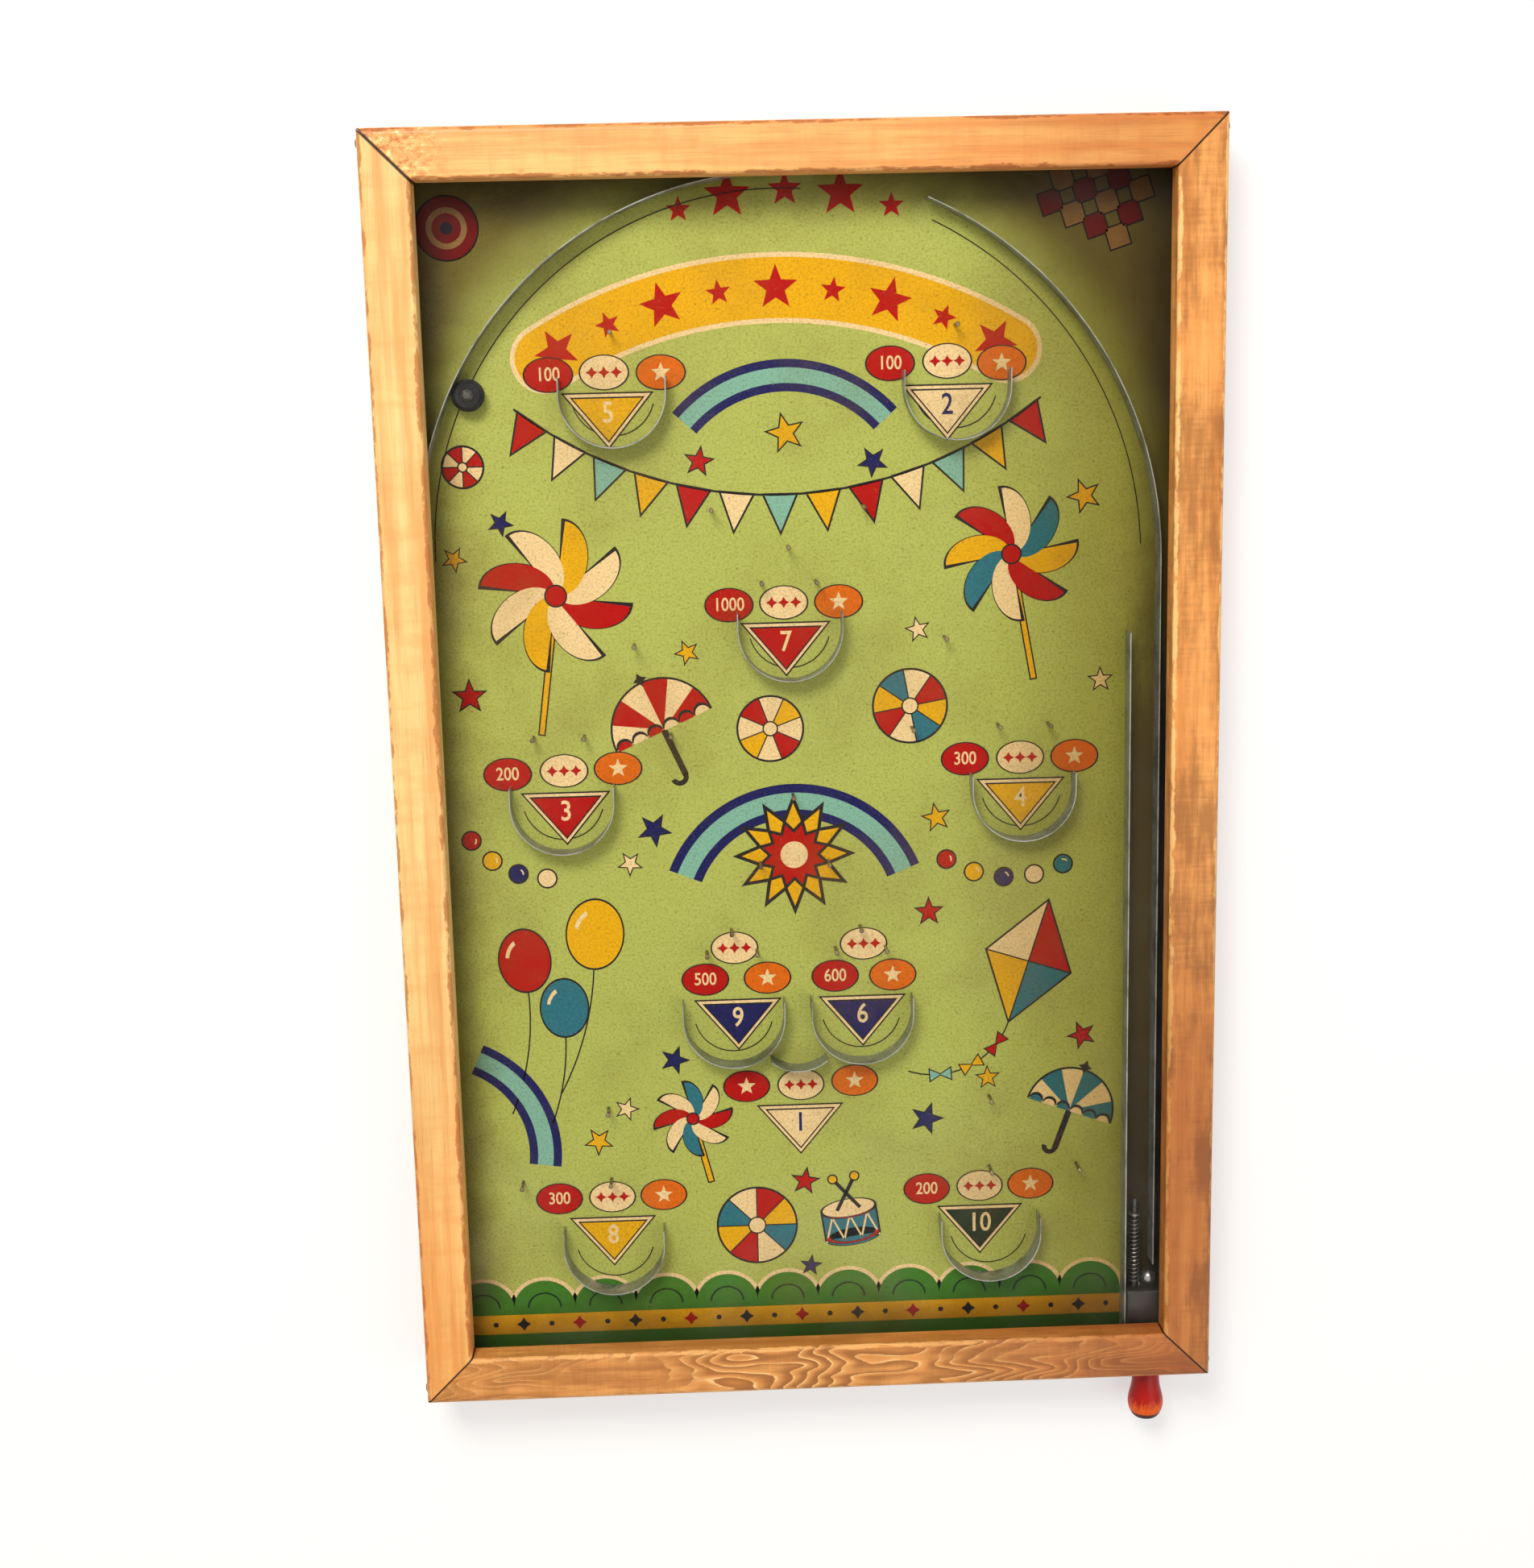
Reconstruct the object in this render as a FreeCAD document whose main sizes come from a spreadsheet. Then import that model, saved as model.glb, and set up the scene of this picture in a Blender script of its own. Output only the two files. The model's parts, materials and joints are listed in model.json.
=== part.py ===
import FreeCAD, Part
import math
import os
import re

import Sketcher

Vector = FreeCAD.Vector

# Driving dimensions in millimetres. The board lies on its back with the glass up:
# X to the right, Y towards the head, Z up. In the sheet, x, y and up are measured
# from the middle of the wooden case, and heights from its back.
SIZES = {
    # wooden case
    "board_width": 381,
    "board_length": 594,
    "board_depth": 38,
    "rail_face": 22.5,
    "lip_depth": 13,
    "side_wall": 11.5,
    "rear_wall": 7.5,
    "outer_round": 3,
    "inner_round": 2,
    "rear_round": 1.5,
    "mitre_gap": 0.3,
    "fit_gap": 0.3,
    # glass and playing field
    "glass_thickness": 2,
    "glass_groove": 3,
    "glass_gap": 0.15,
    "field_height": 11,
    "field_thickness": 4,
    # steel strips and the tabs that hold them
    "strip_height": 11.5,
    "strip_thickness": 0.5,
    "tab_width": 5,
    "tab_foot": 4,
    "slot_gap": 0.1,
    # places on the field, from its own middle line
    "field_shift": -6.2,
    "cup_radius": 24.5,
    "cup_arm": 7.5,
    "top_cup_out": 78.4,
    "top_cup_y": 181.6,
    "middle_cup_y": 72.8,
    "side_cup_out": 108.5,
    "side_cup_y": -6.1,
    "low_cup_out": 30.8,
    "low_cup_y": -113.1,
    "foot_cup_out": 92,
    "foot_cup_y": -226.4,
    "catch_radius": 20.5,
    "catch_half_angle": 40.8,
    "catch_y": -119.6,
    # arch strip on the left, and the strip outside the ball lane: how far their
    # lines stay from the walls of the case
    "arch_side_gap": 4.2,
    "arch_head_gap": 8.8,
    "arch_x": -8.2,
    "arch_start": 84,
    "arch_end": 180,
    "gutter_width": 13.6,
    "lane_width": 13.6,
    "lane_head_gap": 5.8,
    "lane_arc_x": -13,
    "lane_open_angle": 66.1,
    "lane_foot_gap": 13.8,
    "divider_drop": 34.3,
    # bumper
    "bumper_angle": 153,
    "bumper_radius": 7.25,
    "bumper_height": 9,
    "bumper_round": 1.8,
    "bumper_nail_radius": 1.3,
    "bumper_head_radius": 2.8,
    "bumper_nail_back": 0.5,
    # nails of the field
    "pin_radius": 0.8,
    "pin_head_radius": 1.15,
    "pin_rise": 11,
    "pin_below": 5.5,
    # plunger
    "rod_radius": 1.5,
    "rod_lift": 3.97,
    "rod_inset": 5.8,
    "rod_nose": 8.7,
    "rod_clearance": 0.08,
    "collar_radius": 2.9,
    "collar_thickness": 1.2,
    "spring_length": 37.1,
    "spring_radius": 2.8,
    "spring_wire_radius": 0.35,
    "spring_turns": 16,
    "spring_end_bend": 1.1,
    "housing_depth": 26.4,
    "housing_wall": 1,
    "housing_height": 11.2,
    "housing_round": 1.5,
    "knob_offset": 6.4,
    "knob_length": 31,
    "knob_neck_radius": 6.6,
    "knob_neck_length": 9,
    "knob_belly_radius": 8.9,
    "knob_belly_start": 19,
    "knob_belly_end": 23,
    "knob_end_radius": 6.2,
    "knob_round": 5,
    "knob_socket": 18,
    # ball
    "ball_radius": 3.97,
    "ball_gap": 0.4,
    "ball_lift": 0.05,
    # nails of the case
    "corner_nail_radius": 1.1,
    "corner_nail_head": 2.3,
    "corner_nail_length": 22,
    "corner_nail_inset": 6,
    "corner_nail_top": 31,
    "corner_nail_low": 15,
    "brad_radius": 0.7,
    "brad_head": 1.6,
    "brad_length": 12,
    # wire stand at the back
    "stand_wire_radius": 1.6,
    "stand_half_width": 60,
    "stand_leg": 90,
    "stand_stub": 16,
    "stand_bend": 5,
    "stand_pivot_gap": 4,
    "stand_pivot_up": 4.6,
    "staple_wire_radius": 0.8,
    "staple_clearance": 0.08,
    "staple_bite": 2.5,
}

# Sizes that follow from those, in the same sheet: the arch, the lane, the plunger and
# the stand keep their places beside the walls of the case when it changes.
FOLLOWING = {
    "inner_x": "board_width / 2 - side_wall",
    "inner_y": "board_length / 2 - side_wall",
    "arch_radius": "inner_x - arch_side_gap + arch_x",
    "arch_y": "inner_y - arch_head_gap - arch_radius",
    "lane_line_x": "inner_x - gutter_width",
    "lane_radius": "lane_line_x - lane_arc_x",
    "lane_arc_y": "inner_y - lane_head_gap - lane_radius",
    "divider_x": "lane_line_x - lane_width",
    "divider_top_y": "lane_arc_y - divider_drop",
    "housing_back_y": "fit_gap - inner_y",
    "housing_front_y": "housing_back_y + housing_depth",
    "lane_foot_y": "housing_front_y + lane_foot_gap",
    "collar_y": "housing_front_y + spring_length",
    "rod_tip_y": "collar_y + rod_nose",
    "rod_x": "divider_x + rod_inset",
    "knob_x": "rod_x + knob_offset",
    "stand_pivot_y": "inner_y - stand_pivot_gap",
}

document = FreeCAD.newDocument("bagatelle_board")
sheet = document.addObject("Spreadsheet::Sheet", "Sizes")
rows = {alias: str(number) for alias, number in SIZES.items()}
rows.update({alias: f"={words}" for alias, words in FOLLOWING.items()})
for row, (alias, content) in enumerate(rows.items(), start=1):
    sheet.set(f"A{row}", alias.replace("_", " "))
    sheet.setAlias(f"B{row}", alias)
    sheet.set(f"B{row}", content)
document.recompute()


# An expression is written in the words of the sheet, and this puts the sheet's name
# in front of each of them.
def formula(words):
    def named(match):
        word = match.group()
        return f"Sizes.{word}" if word in rows else word

    return re.sub("[a-z_]+", named, words)


def value(words):
    return float(sheet.evalExpression(words))


# The case stands back from the origin by half of what the knob sticks out, so that
# the origin is below the middle of the whole board, knob included.
KNOB_REACH = "(knob_length + fit_gap)"
MIDDLE_Y = f"({KNOB_REACH} / 2)"
GROOVE_TOP = "(board_depth - lip_depth)"
GROOVE_FLOOR = "(board_depth - lip_depth - glass_thickness - 2 * glass_gap)"
FIELD_BACK = "(field_height - field_thickness)"
ROD_UP = "(field_height + rod_lift)"
BEND_RADIUS = "(knob_offset / 2)"

pieces = []


def place(thing, x="0", y="0", up="0"):
    thing.setExpression("Placement.Base.x", formula(x))
    thing.setExpression("Placement.Base.y", formula(f"({y}) + {MIDDLE_Y}"))
    thing.setExpression("Placement.Base.z", formula(up))


def keep(thing, label):
    thing.Label = label
    pieces.append(thing)
    return thing


# Sketches: every corner, centre and radius is tied to the sheet.
def new_body(label):
    return keep(document.addObject("PartDesign::Body", label), label)


def new_sketch(body, role, offset="0"):
    plane = [flat for flat in body.Origin.OriginFeatures if flat.Role == role][0]
    sketch = body.newObject("Sketcher::SketchObject", f"{body.Name}_sketch")
    sketch.AttachmentSupport = [(plane, "")]
    sketch.MapMode = "FlatFace"
    sketch.setExpression("AttachmentOffset.Base.z", formula(offset))
    return sketch


def tie(sketch, kind, item, words, corner=None):
    number = value(words)
    parts = (kind, item, number) if corner is None else (kind, item, corner, number)
    index = sketch.addConstraint(Sketcher.Constraint(*parts))
    name = f"size{index}"
    sketch.renameConstraint(index, name)
    sketch.setExpression(f"Constraints.{name}", formula(words))


# A step is ("line", x, y) or ("arc", centre x, centre y, x, y, turn), where turn is
# 1 for anticlockwise and -1 for clockwise. A corner that an arc ends on has only the
# size along its tangent tied, because the arc's centre and start fix the other.
def draw(sketch, start, steps, closed=True):
    spots = [start] + [step[-2:] if step[0] == "line" else step[3:5] for step in steps]
    if closed:
        spots[-1] = start
    ends = []
    for step, begin, end in zip(steps, spots, spots[1:]):
        a = Vector(value(begin[0]), value(begin[1]), 0)
        b = Vector(value(end[0]), value(end[1]), 0)
        if step[0] == "line":
            item = sketch.addGeometry(Part.LineSegment(a, b))
            ends.append((item, 1, 2, None))
            continue
        centre = Vector(value(step[1]), value(step[2]), 0)
        first, last = (a, b) if step[5] > 0 else (b, a)
        low = math.atan2(first.y - centre.y, first.x - centre.x)
        high = math.atan2(last.y - centre.y, last.x - centre.x)
        if high <= low:
            high += 2 * math.pi
        circle = Part.Circle(centre, Vector(0, 0, 1), (a - centre).Length)
        item = sketch.addGeometry(Part.ArcOfCircle(circle, low, high))
        tie(sketch, "DistanceX", item, step[1], 3)
        tie(sketch, "DistanceY", item, step[2], 3)
        radius = b - centre
        along = "DistanceY" if abs(radius.x) >= abs(radius.y) else "DistanceX"
        ends.append((item, 1, 2, along) if step[5] > 0 else (item, 2, 1, along))
    count = len(ends)
    for index in range(count if closed else count - 1):
        here, after = ends[index], ends[(index + 1) % count]
        link = Sketcher.Constraint("Coincident", here[0], here[2], after[0], after[1])
        sketch.addConstraint(link)
    for index, (item, first, _, _) in enumerate(ends):
        before = ends[index - 1][3] if closed or index else None
        x, y = spots[index]
        if before != "DistanceY":
            tie(sketch, "DistanceX", item, x, first)
        if before != "DistanceX":
            tie(sketch, "DistanceY", item, y, first)
    if not closed:
        item, _, last, along = ends[-1]
        if along != "DistanceY":
            tie(sketch, "DistanceX", item, spots[-1][0], last)
        if along != "DistanceX":
            tie(sketch, "DistanceY", item, spots[-1][1], last)


def polygon(sketch, corners):
    draw(sketch, corners[0], [("line", x, y) for x, y in corners[1:] + corners[:1]])


def circle(sketch, x, y, radius):
    spot = Vector(value(x), value(y), 0)
    item = sketch.addGeometry(Part.Circle(spot, Vector(0, 0, 1), value(radius)))
    tie(sketch, "DistanceX", item, x, 3)
    tie(sketch, "DistanceY", item, y, 3)
    tie(sketch, "Radius", item, radius)


# A rectangle turned by an angle: along is its half length, and across its two sides.
def turned_rectangle(sketch, x, y, angle, along, across):
    corners = []
    for t, n in ((-1, 0), (1, 0), (1, 1), (-1, 1)):
        corner_x = f"{x} + {t} * {along} * cos({angle}) - ({across[n]}) * sin({angle})"
        corner_y = f"{y} + {t} * {along} * sin({angle}) + ({across[n]}) * cos({angle})"
        corners.append((corner_x, corner_y))
    polygon(sketch, corners)


def pad(body, sketch, length, side="One side", back=False):
    feature = body.newObject("PartDesign::Pad", f"{body.Name}_pad")
    feature.Profile = sketch
    feature.SideType = side
    feature.Reversed = back
    feature.setExpression("Length", formula(length))
    return feature


# A cut is checked by volume, because one that points away from the solid cuts nothing.
def pocket(body, sketch, length=None, back=False):
    document.recompute()
    before = body.Shape.Volume
    feature = body.newObject("PartDesign::Pocket", f"{body.Name}_pocket")
    feature.Profile = sketch
    feature.Reversed = back
    if length is None:
        feature.Type = "ThroughAll"
    else:
        feature.setExpression("Length", formula(length))
    document.recompute()
    if not body.Shape.Volume < before:
        raise RuntimeError(f"{feature.Label} cuts nothing")
    return feature


def revolve(body, sketch):
    feature = body.newObject("PartDesign::Revolution", f"{body.Name}_turning")
    feature.Profile = sketch
    feature.ReferenceAxis = (sketch, ["V_Axis"])
    feature.Angle = 360
    return feature


def sweep(body, profile, spine):
    feature = body.newObject("PartDesign::AdditivePipe", f"{body.Name}_pipe")
    feature.Profile = profile
    feature.Spine = (spine, [])
    return feature


# Fillet on the edges of the tip that a test picks.
def fillet(body, radius, test):
    document.recompute()
    tip = body.Tip
    names = [f"Edge{i}" for i, edge in enumerate(tip.Shape.Edges, 1) if test(edge)]
    feature = body.newObject("PartDesign::Fillet", f"{body.Name}_fillet")
    feature.Base = (tip, names)
    feature.setExpression("Radius", formula(radius))
    return feature


# Wooden rails: one moulded section, cut to a mitre at both ends. The section has the
# lip over the glass, the groove that the glass sits in, the wall beside the field and
# the shoulder that the field is nailed up against.
def rail_section(sketch, side, width):
    def spot(inward, up):
        return (f"{side} * ({width} / 2 - ({inward}))", up)

    def line(inward, up):
        return ("line", *spot(inward, up))

    def corner(inward, up, end_inward, end_up):
        return ("arc", *spot(inward, up), *spot(end_inward, end_up), -side)

    draw(sketch, spot("rear_round", "0"), [
        line("rear_wall", "0"),
        line("rear_wall", "field_height"),
        line("side_wall", "field_height"),
        line("side_wall", GROOVE_FLOOR),
        line("side_wall - glass_groove", GROOVE_FLOOR),
        line("side_wall - glass_groove", GROOVE_TOP),
        line("rail_face", GROOVE_TOP),
        line("rail_face", "board_depth - inner_round"),
        corner("rail_face - inner_round", "board_depth - inner_round",
               "rail_face - inner_round", "board_depth"),
        line("outer_round", "board_depth"),
        corner("outer_round", "board_depth - outer_round",
               "0", "board_depth - outer_round"),
        line("0", "rear_round"),
        corner("rear_round", "rear_round", "rear_round", "0"),
    ])


# What lies past the mitre line, at both ends of a rail. The corners are counted
# inwards from the rail's outer face and from its end.
def mitre_cuts(sketch, side, width, length, upright):
    spare = "outer_round"
    half_gap = "mitre_gap / 2 * sqrt(2)"
    corners = [
        (f"-{spare}", f"-{spare} - 1"),
        (f"-{spare}", f"-{spare} + {half_gap}"),
        (f"rail_face + {spare}", f"rail_face + {spare} + {half_gap}"),
        (f"rail_face + {spare}", f"-{spare} - 1"),
    ]
    for end in (-1, 1):
        outline = []
        for inward, from_end in corners:
            across = f"{side} * ({width} / 2 - ({inward}))"
            along = f"{end} * ({length} / 2 - ({from_end}))"
            outline.append((across, along) if upright else (along, across))
        polygon(sketch, outline)


def make_rail(label, side, upright):
    width, length = ("board_width", "board_length")
    role = "XZ_Plane"
    if not upright:
        width, length = length, width
        role = "YZ_Plane"
    body = new_body(label)
    section = new_sketch(body, role)
    rail_section(section, side, width)
    pad(body, section, length, "Symmetric")
    ends = new_sketch(body, "XY_Plane", "board_depth")
    mitre_cuts(ends, side, width, length, upright)
    pocket(body, ends)
    place(body)
    return body


make_rail("frame_rail_left", -1, True)
make_rail("frame_rail_right", 1, True)
make_rail("frame_rail_top", 1, False)
bottom_rail = make_rail("frame_rail_bottom", -1, False)
rod_bore = new_sketch(bottom_rail, "XZ_Plane")
circle(rod_bore, "knob_x", ROD_UP, "rod_radius + rod_clearance")
pocket(bottom_rail, rod_bore, back=True)


# Glass, held on all four sides in the grooves of the rails
def make_glass():
    glass = keep(document.addObject("Part::Box", "glass_pane"), "glass_pane")
    reach = "side_wall - glass_groove + fit_gap"
    glass.setExpression("Length", formula(f"board_width - 2 * ({reach})"))
    glass.setExpression("Width", formula(f"board_length - 2 * ({reach})"))
    glass.setExpression("Height", formula("glass_thickness"))
    place(glass, f"{reach} - board_width / 2", f"{reach} - board_length / 2",
          f"{GROOVE_FLOOR} + glass_gap")


# A strip stands on the field. Tabs on its lower edge go through slots in the field
# and are bent over behind it. A tab is (x, y, angle of the strip, side of its foot).
HALF_SHEET = "strip_thickness / 2"
CUP_LINE = "(cup_radius - strip_thickness / 2)"

# Where the tabs stand, as shares of each strip's length
CATCH_TABS = (-0.6, 0.6)
ARCH_TABS = (0.1, 0.32, 0.55, 0.76, 0.95)
LANE_ARC_TABS = (0.93, 0.62, 0.3)
LANE_STRAIGHT_TABS = (0.12, 0.37, 0.62, 0.87)
DIVIDER_TABS = (0.03, 0.35, 0.66, 0.97)


def tab_feet(body, tabs):
    shanks = new_sketch(body, "XY_Plane")
    for x, y, angle, _ in tabs:
        turned_rectangle(shanks, x, y, angle, "tab_width / 2", (f"-{HALF_SHEET}", HALF_SHEET))
    pad(body, shanks, "field_thickness + strip_thickness", back=True)
    feet = new_sketch(body, "XY_Plane", "-field_thickness - strip_thickness")
    for x, y, angle, side in tabs:
        span = ("-tab_foot", HALF_SHEET) if side < 0 else (f"-{HALF_SHEET}", "tab_foot")
        turned_rectangle(feet, x, y, angle, "tab_width / 2", span)
    pad(body, feet, "strip_thickness")


slots = []


def make_strip(label, outline, tabs, x="0", y="0"):
    body = new_body(label)
    edge = new_sketch(body, "XY_Plane")
    draw(edge, *outline)
    pad(body, edge, "strip_height")
    tab_feet(body, tabs)
    place(body, x, y, "field_height")
    slots.append([(f"{x} + {tab_x}", f"{y} + {tab_y}", angle)
                  for tab_x, tab_y, angle, _ in tabs])
    return body


# A cup: half a circle open towards the head, with two short straight arms
def cup_outline():
    inner = "cup_radius - strip_thickness"
    return (("-cup_radius", "cup_arm"), [
        ("line", "-cup_radius", "0"),
        ("arc", "0", "0", "cup_radius", "0", 1),
        ("line", "cup_radius", "cup_arm"),
        ("line", inner, "cup_arm"),
        ("line", inner, "0"),
        ("arc", "0", "0", f"-({inner})", "0", -1),
        ("line", f"-({inner})", "cup_arm"),
        ("line", "-cup_radius", "cup_arm"),
    ])


CUP_TABS = [
    (f"-{CUP_LINE}", "cup_arm / 2", "90", 1),
    (CUP_LINE, "cup_arm / 2", "90", -1),
    ("0", f"-{CUP_LINE}", "0", -1),
]
CUPS = {
    "cup_top_left": ("-top_cup_out", "top_cup_y"),
    "cup_top_right": ("top_cup_out", "top_cup_y"),
    "cup_centre": ("0", "middle_cup_y"),
    "cup_side_left": ("-side_cup_out", "side_cup_y"),
    "cup_side_right": ("side_cup_out", "side_cup_y"),
    "cup_low_left": ("-low_cup_out", "low_cup_y"),
    "cup_low_right": ("low_cup_out", "low_cup_y"),
    "cup_foot_left": ("-foot_cup_out", "foot_cup_y"),
    "cup_foot_right": ("foot_cup_out", "foot_cup_y"),
}
for name, (out, up) in CUPS.items():
    make_strip(name, cup_outline(), CUP_TABS, f"field_shift + {out}", up)


# A band along an arc about the sketch's own origin or another centre
def band_outline(x, y, radius, low, high):
    def spot(offset, angle):
        reach = f"({radius} + {offset})"
        return (f"{x} + {reach} * cos({angle})", f"{y} + {reach} * sin({angle})")

    outside, inside = (HALF_SHEET, f"(-{HALF_SHEET})")
    return (spot(outside, low), [
        ("arc", x, y, *spot(outside, high), 1),
        ("line", *spot(inside, high)),
        ("arc", x, y, *spot(inside, low), -1),
        ("line", *spot(outside, low)),
    ])


def round_tab(x, y, radius, angle):
    return (f"{x} + {radius} * cos({angle})", f"{y} + {radius} * sin({angle})",
            f"({angle} + 90)", -1)


make_strip(
    "catch_arc",
    band_outline("0", "0", "catch_radius", "(270 - catch_half_angle)",
                 "(270 + catch_half_angle)"),
    [round_tab("0", "0", "catch_radius", f"(270 + {share} * catch_half_angle)")
     for share in CATCH_TABS],
    "field_shift", "catch_y")

make_strip(
    "arch_strip",
    band_outline("arch_x", "arch_y", "arch_radius", "arch_start", "arch_end"),
    [round_tab("arch_x", "arch_y", "arch_radius",
               f"(arch_start + {share} * (arch_end - arch_start))")
     for share in ARCH_TABS])


# The strip outside the lane: a free end near the head, an arc, then straight down
def lane_outline():
    def spot(offset):
        reach = f"(lane_radius + {offset})"
        return (f"lane_arc_x + {reach} * cos(lane_open_angle)",
                f"lane_arc_y + {reach} * sin(lane_open_angle)")

    outside, inside = (HALF_SHEET, f"(-{HALF_SHEET})")
    right = f"lane_line_x + {outside}"
    left = f"lane_line_x + {inside}"
    return ((right, "lane_foot_y"), [
        ("line", right, "lane_arc_y"),
        ("arc", "lane_arc_x", "lane_arc_y", *spot(outside), 1),
        ("line", *spot(inside)),
        ("arc", "lane_arc_x", "lane_arc_y", left, "lane_arc_y", -1),
        ("line", left, "lane_foot_y"),
        ("line", right, "lane_foot_y"),
    ])


lane_tabs = [round_tab("lane_arc_x", "lane_arc_y", "lane_radius", f"({share} * lane_open_angle)")
             for share in LANE_ARC_TABS]
for share in LANE_STRAIGHT_TABS:
    tab_y = f"lane_arc_y + {share} * (lane_foot_y - lane_arc_y)"
    lane_tabs.append(("lane_line_x", tab_y, "90", -1))
make_strip("lane_outer_strip", lane_outline(), lane_tabs)


def make_divider():
    left, right = (f"-({HALF_SHEET})", HALF_SHEET)
    foot = "(divider_top_y - housing_back_y)"
    outline = ((left, "0"), [
        ("line", left, f"-{foot}"),
        ("line", right, f"-{foot}"),
        ("line", right, "0"),
        ("line", left, "0"),
    ])
    tabs = [("0", f"-{share} * {foot}", "90", 1) for share in DIVIDER_TABS]
    make_strip("lane_divider_strip", outline, tabs, "divider_x", "divider_top_y")


make_divider()


# Sheet steel housing at the foot of the lane. The plunger's jog runs inside it.
HOUSING_LEFT = "(divider_x + strip_thickness / 2 + fit_gap)"
HOUSING_RIGHT = "(inner_x - fit_gap)"


def make_housing():
    body = new_body("plunger_housing")
    box = new_sketch(body, "XY_Plane")
    polygon(box, [(HOUSING_LEFT, "housing_back_y"), (HOUSING_RIGHT, "housing_back_y"),
                  (HOUSING_RIGHT, "housing_front_y"), (HOUSING_LEFT, "housing_front_y")])
    pad(body, box, "housing_height")
    top, back = (value("housing_height"), value("housing_back_y"))

    def folded(edge):
        return edge.BoundBox.ZMin > top - 0.01 and edge.BoundBox.YMax > back + 0.01

    fillet(body, "housing_round", folded)
    hollow = new_sketch(body, "XY_Plane")
    left = f"{HOUSING_LEFT} + housing_wall"
    right = f"{HOUSING_RIGHT} - housing_wall"
    front = "housing_front_y - housing_wall"
    behind = "housing_back_y - housing_wall"
    polygon(hollow, [(left, behind), (right, behind), (right, front), (left, front)])
    pocket(body, hollow, "housing_height - housing_wall", back=True)
    hole = new_sketch(body, "XZ_Plane", "-housing_front_y - 2 * housing_wall")
    circle(hole, "rod_x", "rod_lift", "rod_radius + rod_clearance")
    pocket(body, hole, "4 * housing_wall", back=True)
    tab_y = f"(housing_front_y - {HALF_SHEET})"
    tabs = [(f"({HOUSING_LEFT} + 2 * tab_width)", tab_y, "0", -1),
            (f"({HOUSING_RIGHT} - tab_width)", tab_y, "0", -1)]
    tab_feet(body, tabs)
    place(body, "0", "0", "field_height")
    slots.append([tab[:3] for tab in tabs])


make_housing()


# The field: a hardboard panel with a slot for every tab
def make_field():
    body = new_body("playfield_board")
    half_x = "(board_width / 2 - rear_wall - fit_gap)"
    half_y = "(board_length / 2 - rear_wall - fit_gap)"
    panel = new_sketch(body, "XY_Plane", FIELD_BACK)
    polygon(panel, [(f"-{half_x}", f"-{half_y}"), (half_x, f"-{half_y}"),
                    (half_x, half_y), (f"-{half_x}", half_y)])
    pad(body, panel, "field_thickness")
    for group in slots:
        cuts = new_sketch(body, "XY_Plane", "field_height")
        side = f"({HALF_SHEET} + slot_gap)"
        for x, y, angle in group:
            turned_rectangle(cuts, x, y, angle, "(tab_width / 2 + slot_gap)",
                             (f"-{side}", side))
        pocket(body, cuts)
    place(body)


make_glass()
make_field()


# A regular polygon of a size that is small enough to pass for a circle
def small_ring(radius, sides, up=0):
    points = [Vector(radius * math.cos(2 * math.pi * i / sides),
                     radius * math.sin(2 * math.pi * i / sides), up) for i in range(sides)]
    return Part.makePolygon(points + points[:1])


# A nail's point, as shares of its radius, and the flat top of its head, as a share of
# the head's radius
POINT_LENGTH = 2.5
POINT_END = 0.17
HEAD_FLAT = 0.6
WIRE_SIDES = 8


# A nail with a pointed end and a head with a bevelled rim, head up, its tip at the origin
def nail(radius, length, head_radius, head_height):
    point = POINT_LENGTH * radius
    under = length - head_height

    def ring(size, up=0):
        return small_ring(size, WIRE_SIDES, up)

    tip = Part.makeLoft([ring(radius * POINT_END), ring(radius, point)], True)
    shank = Part.Face(ring(radius, point)).extrude(Vector(0, 0, under - point))
    rim = Part.Face(ring(head_radius, under)).extrude(Vector(0, 0, head_height / 2))
    top = Part.makeLoft([ring(head_radius, length - head_height / 2),
                         ring(head_radius * HEAD_FLAT, length)], True)
    return tip.fuse([shank, rim, top]).removeSplitter().Solids[0]


def keep_group(label, solids):
    group = document.addObject("Part::Feature", label)
    group.Shape = Part.makeCompound(solids)
    keep(group, label)
    return group


# Field nails stand in pairs about the field's middle line. Each group is tied to a pair
# of cups, or to the one in the middle: how far out from the cup, and how far above it.
NAIL_GROUPS = [
    ("top_cup_out", "top_cup_y", [(0, 27.2)]),
    ("0", "middle_cup_y", [(35, 55.2), (12.7, 21.2), (72.4, -6.5)]),
    ("side_cup_out", "side_cup_y", [(-51.8, 29.9), (-11.2, 30.2), (12.5, 30.2)]),
    ("low_cup_out", "low_cup_y", [(-14.6, 73.7), (-11.9, 30.9), (0, 41.4), (12, 30.8)]),
    ("foot_cup_out", "foot_cup_y", [(0.6, 67.2), (0.6, 31.1), (43.5, 31)]),
]
MIDDLE_NAILS = [("middle_cup_y", 37.5), ("side_cup_y", -0.7)]


def make_pins():
    spots = [(0, value(cup_y) + above) for cup_y, above in MIDDLE_NAILS]
    for cup_out, cup_y, places in NAIL_GROUPS:
        for out, above in places:
            across = value(cup_out) + out
            spots += [(side * across, value(cup_y) + above) for side in (-1, 1)]
    shape = nail(value("pin_radius"), value("pin_rise + pin_below"),
                 value("pin_head_radius"), value("pin_radius"))
    middle = value("field_shift")
    pins = keep_group("playfield_pins", [shape.translated(Vector(middle + x, y, 0))
                                         for x, y in spots])
    place(pins, "0", "0", "field_height - pin_below")


make_pins()


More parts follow.
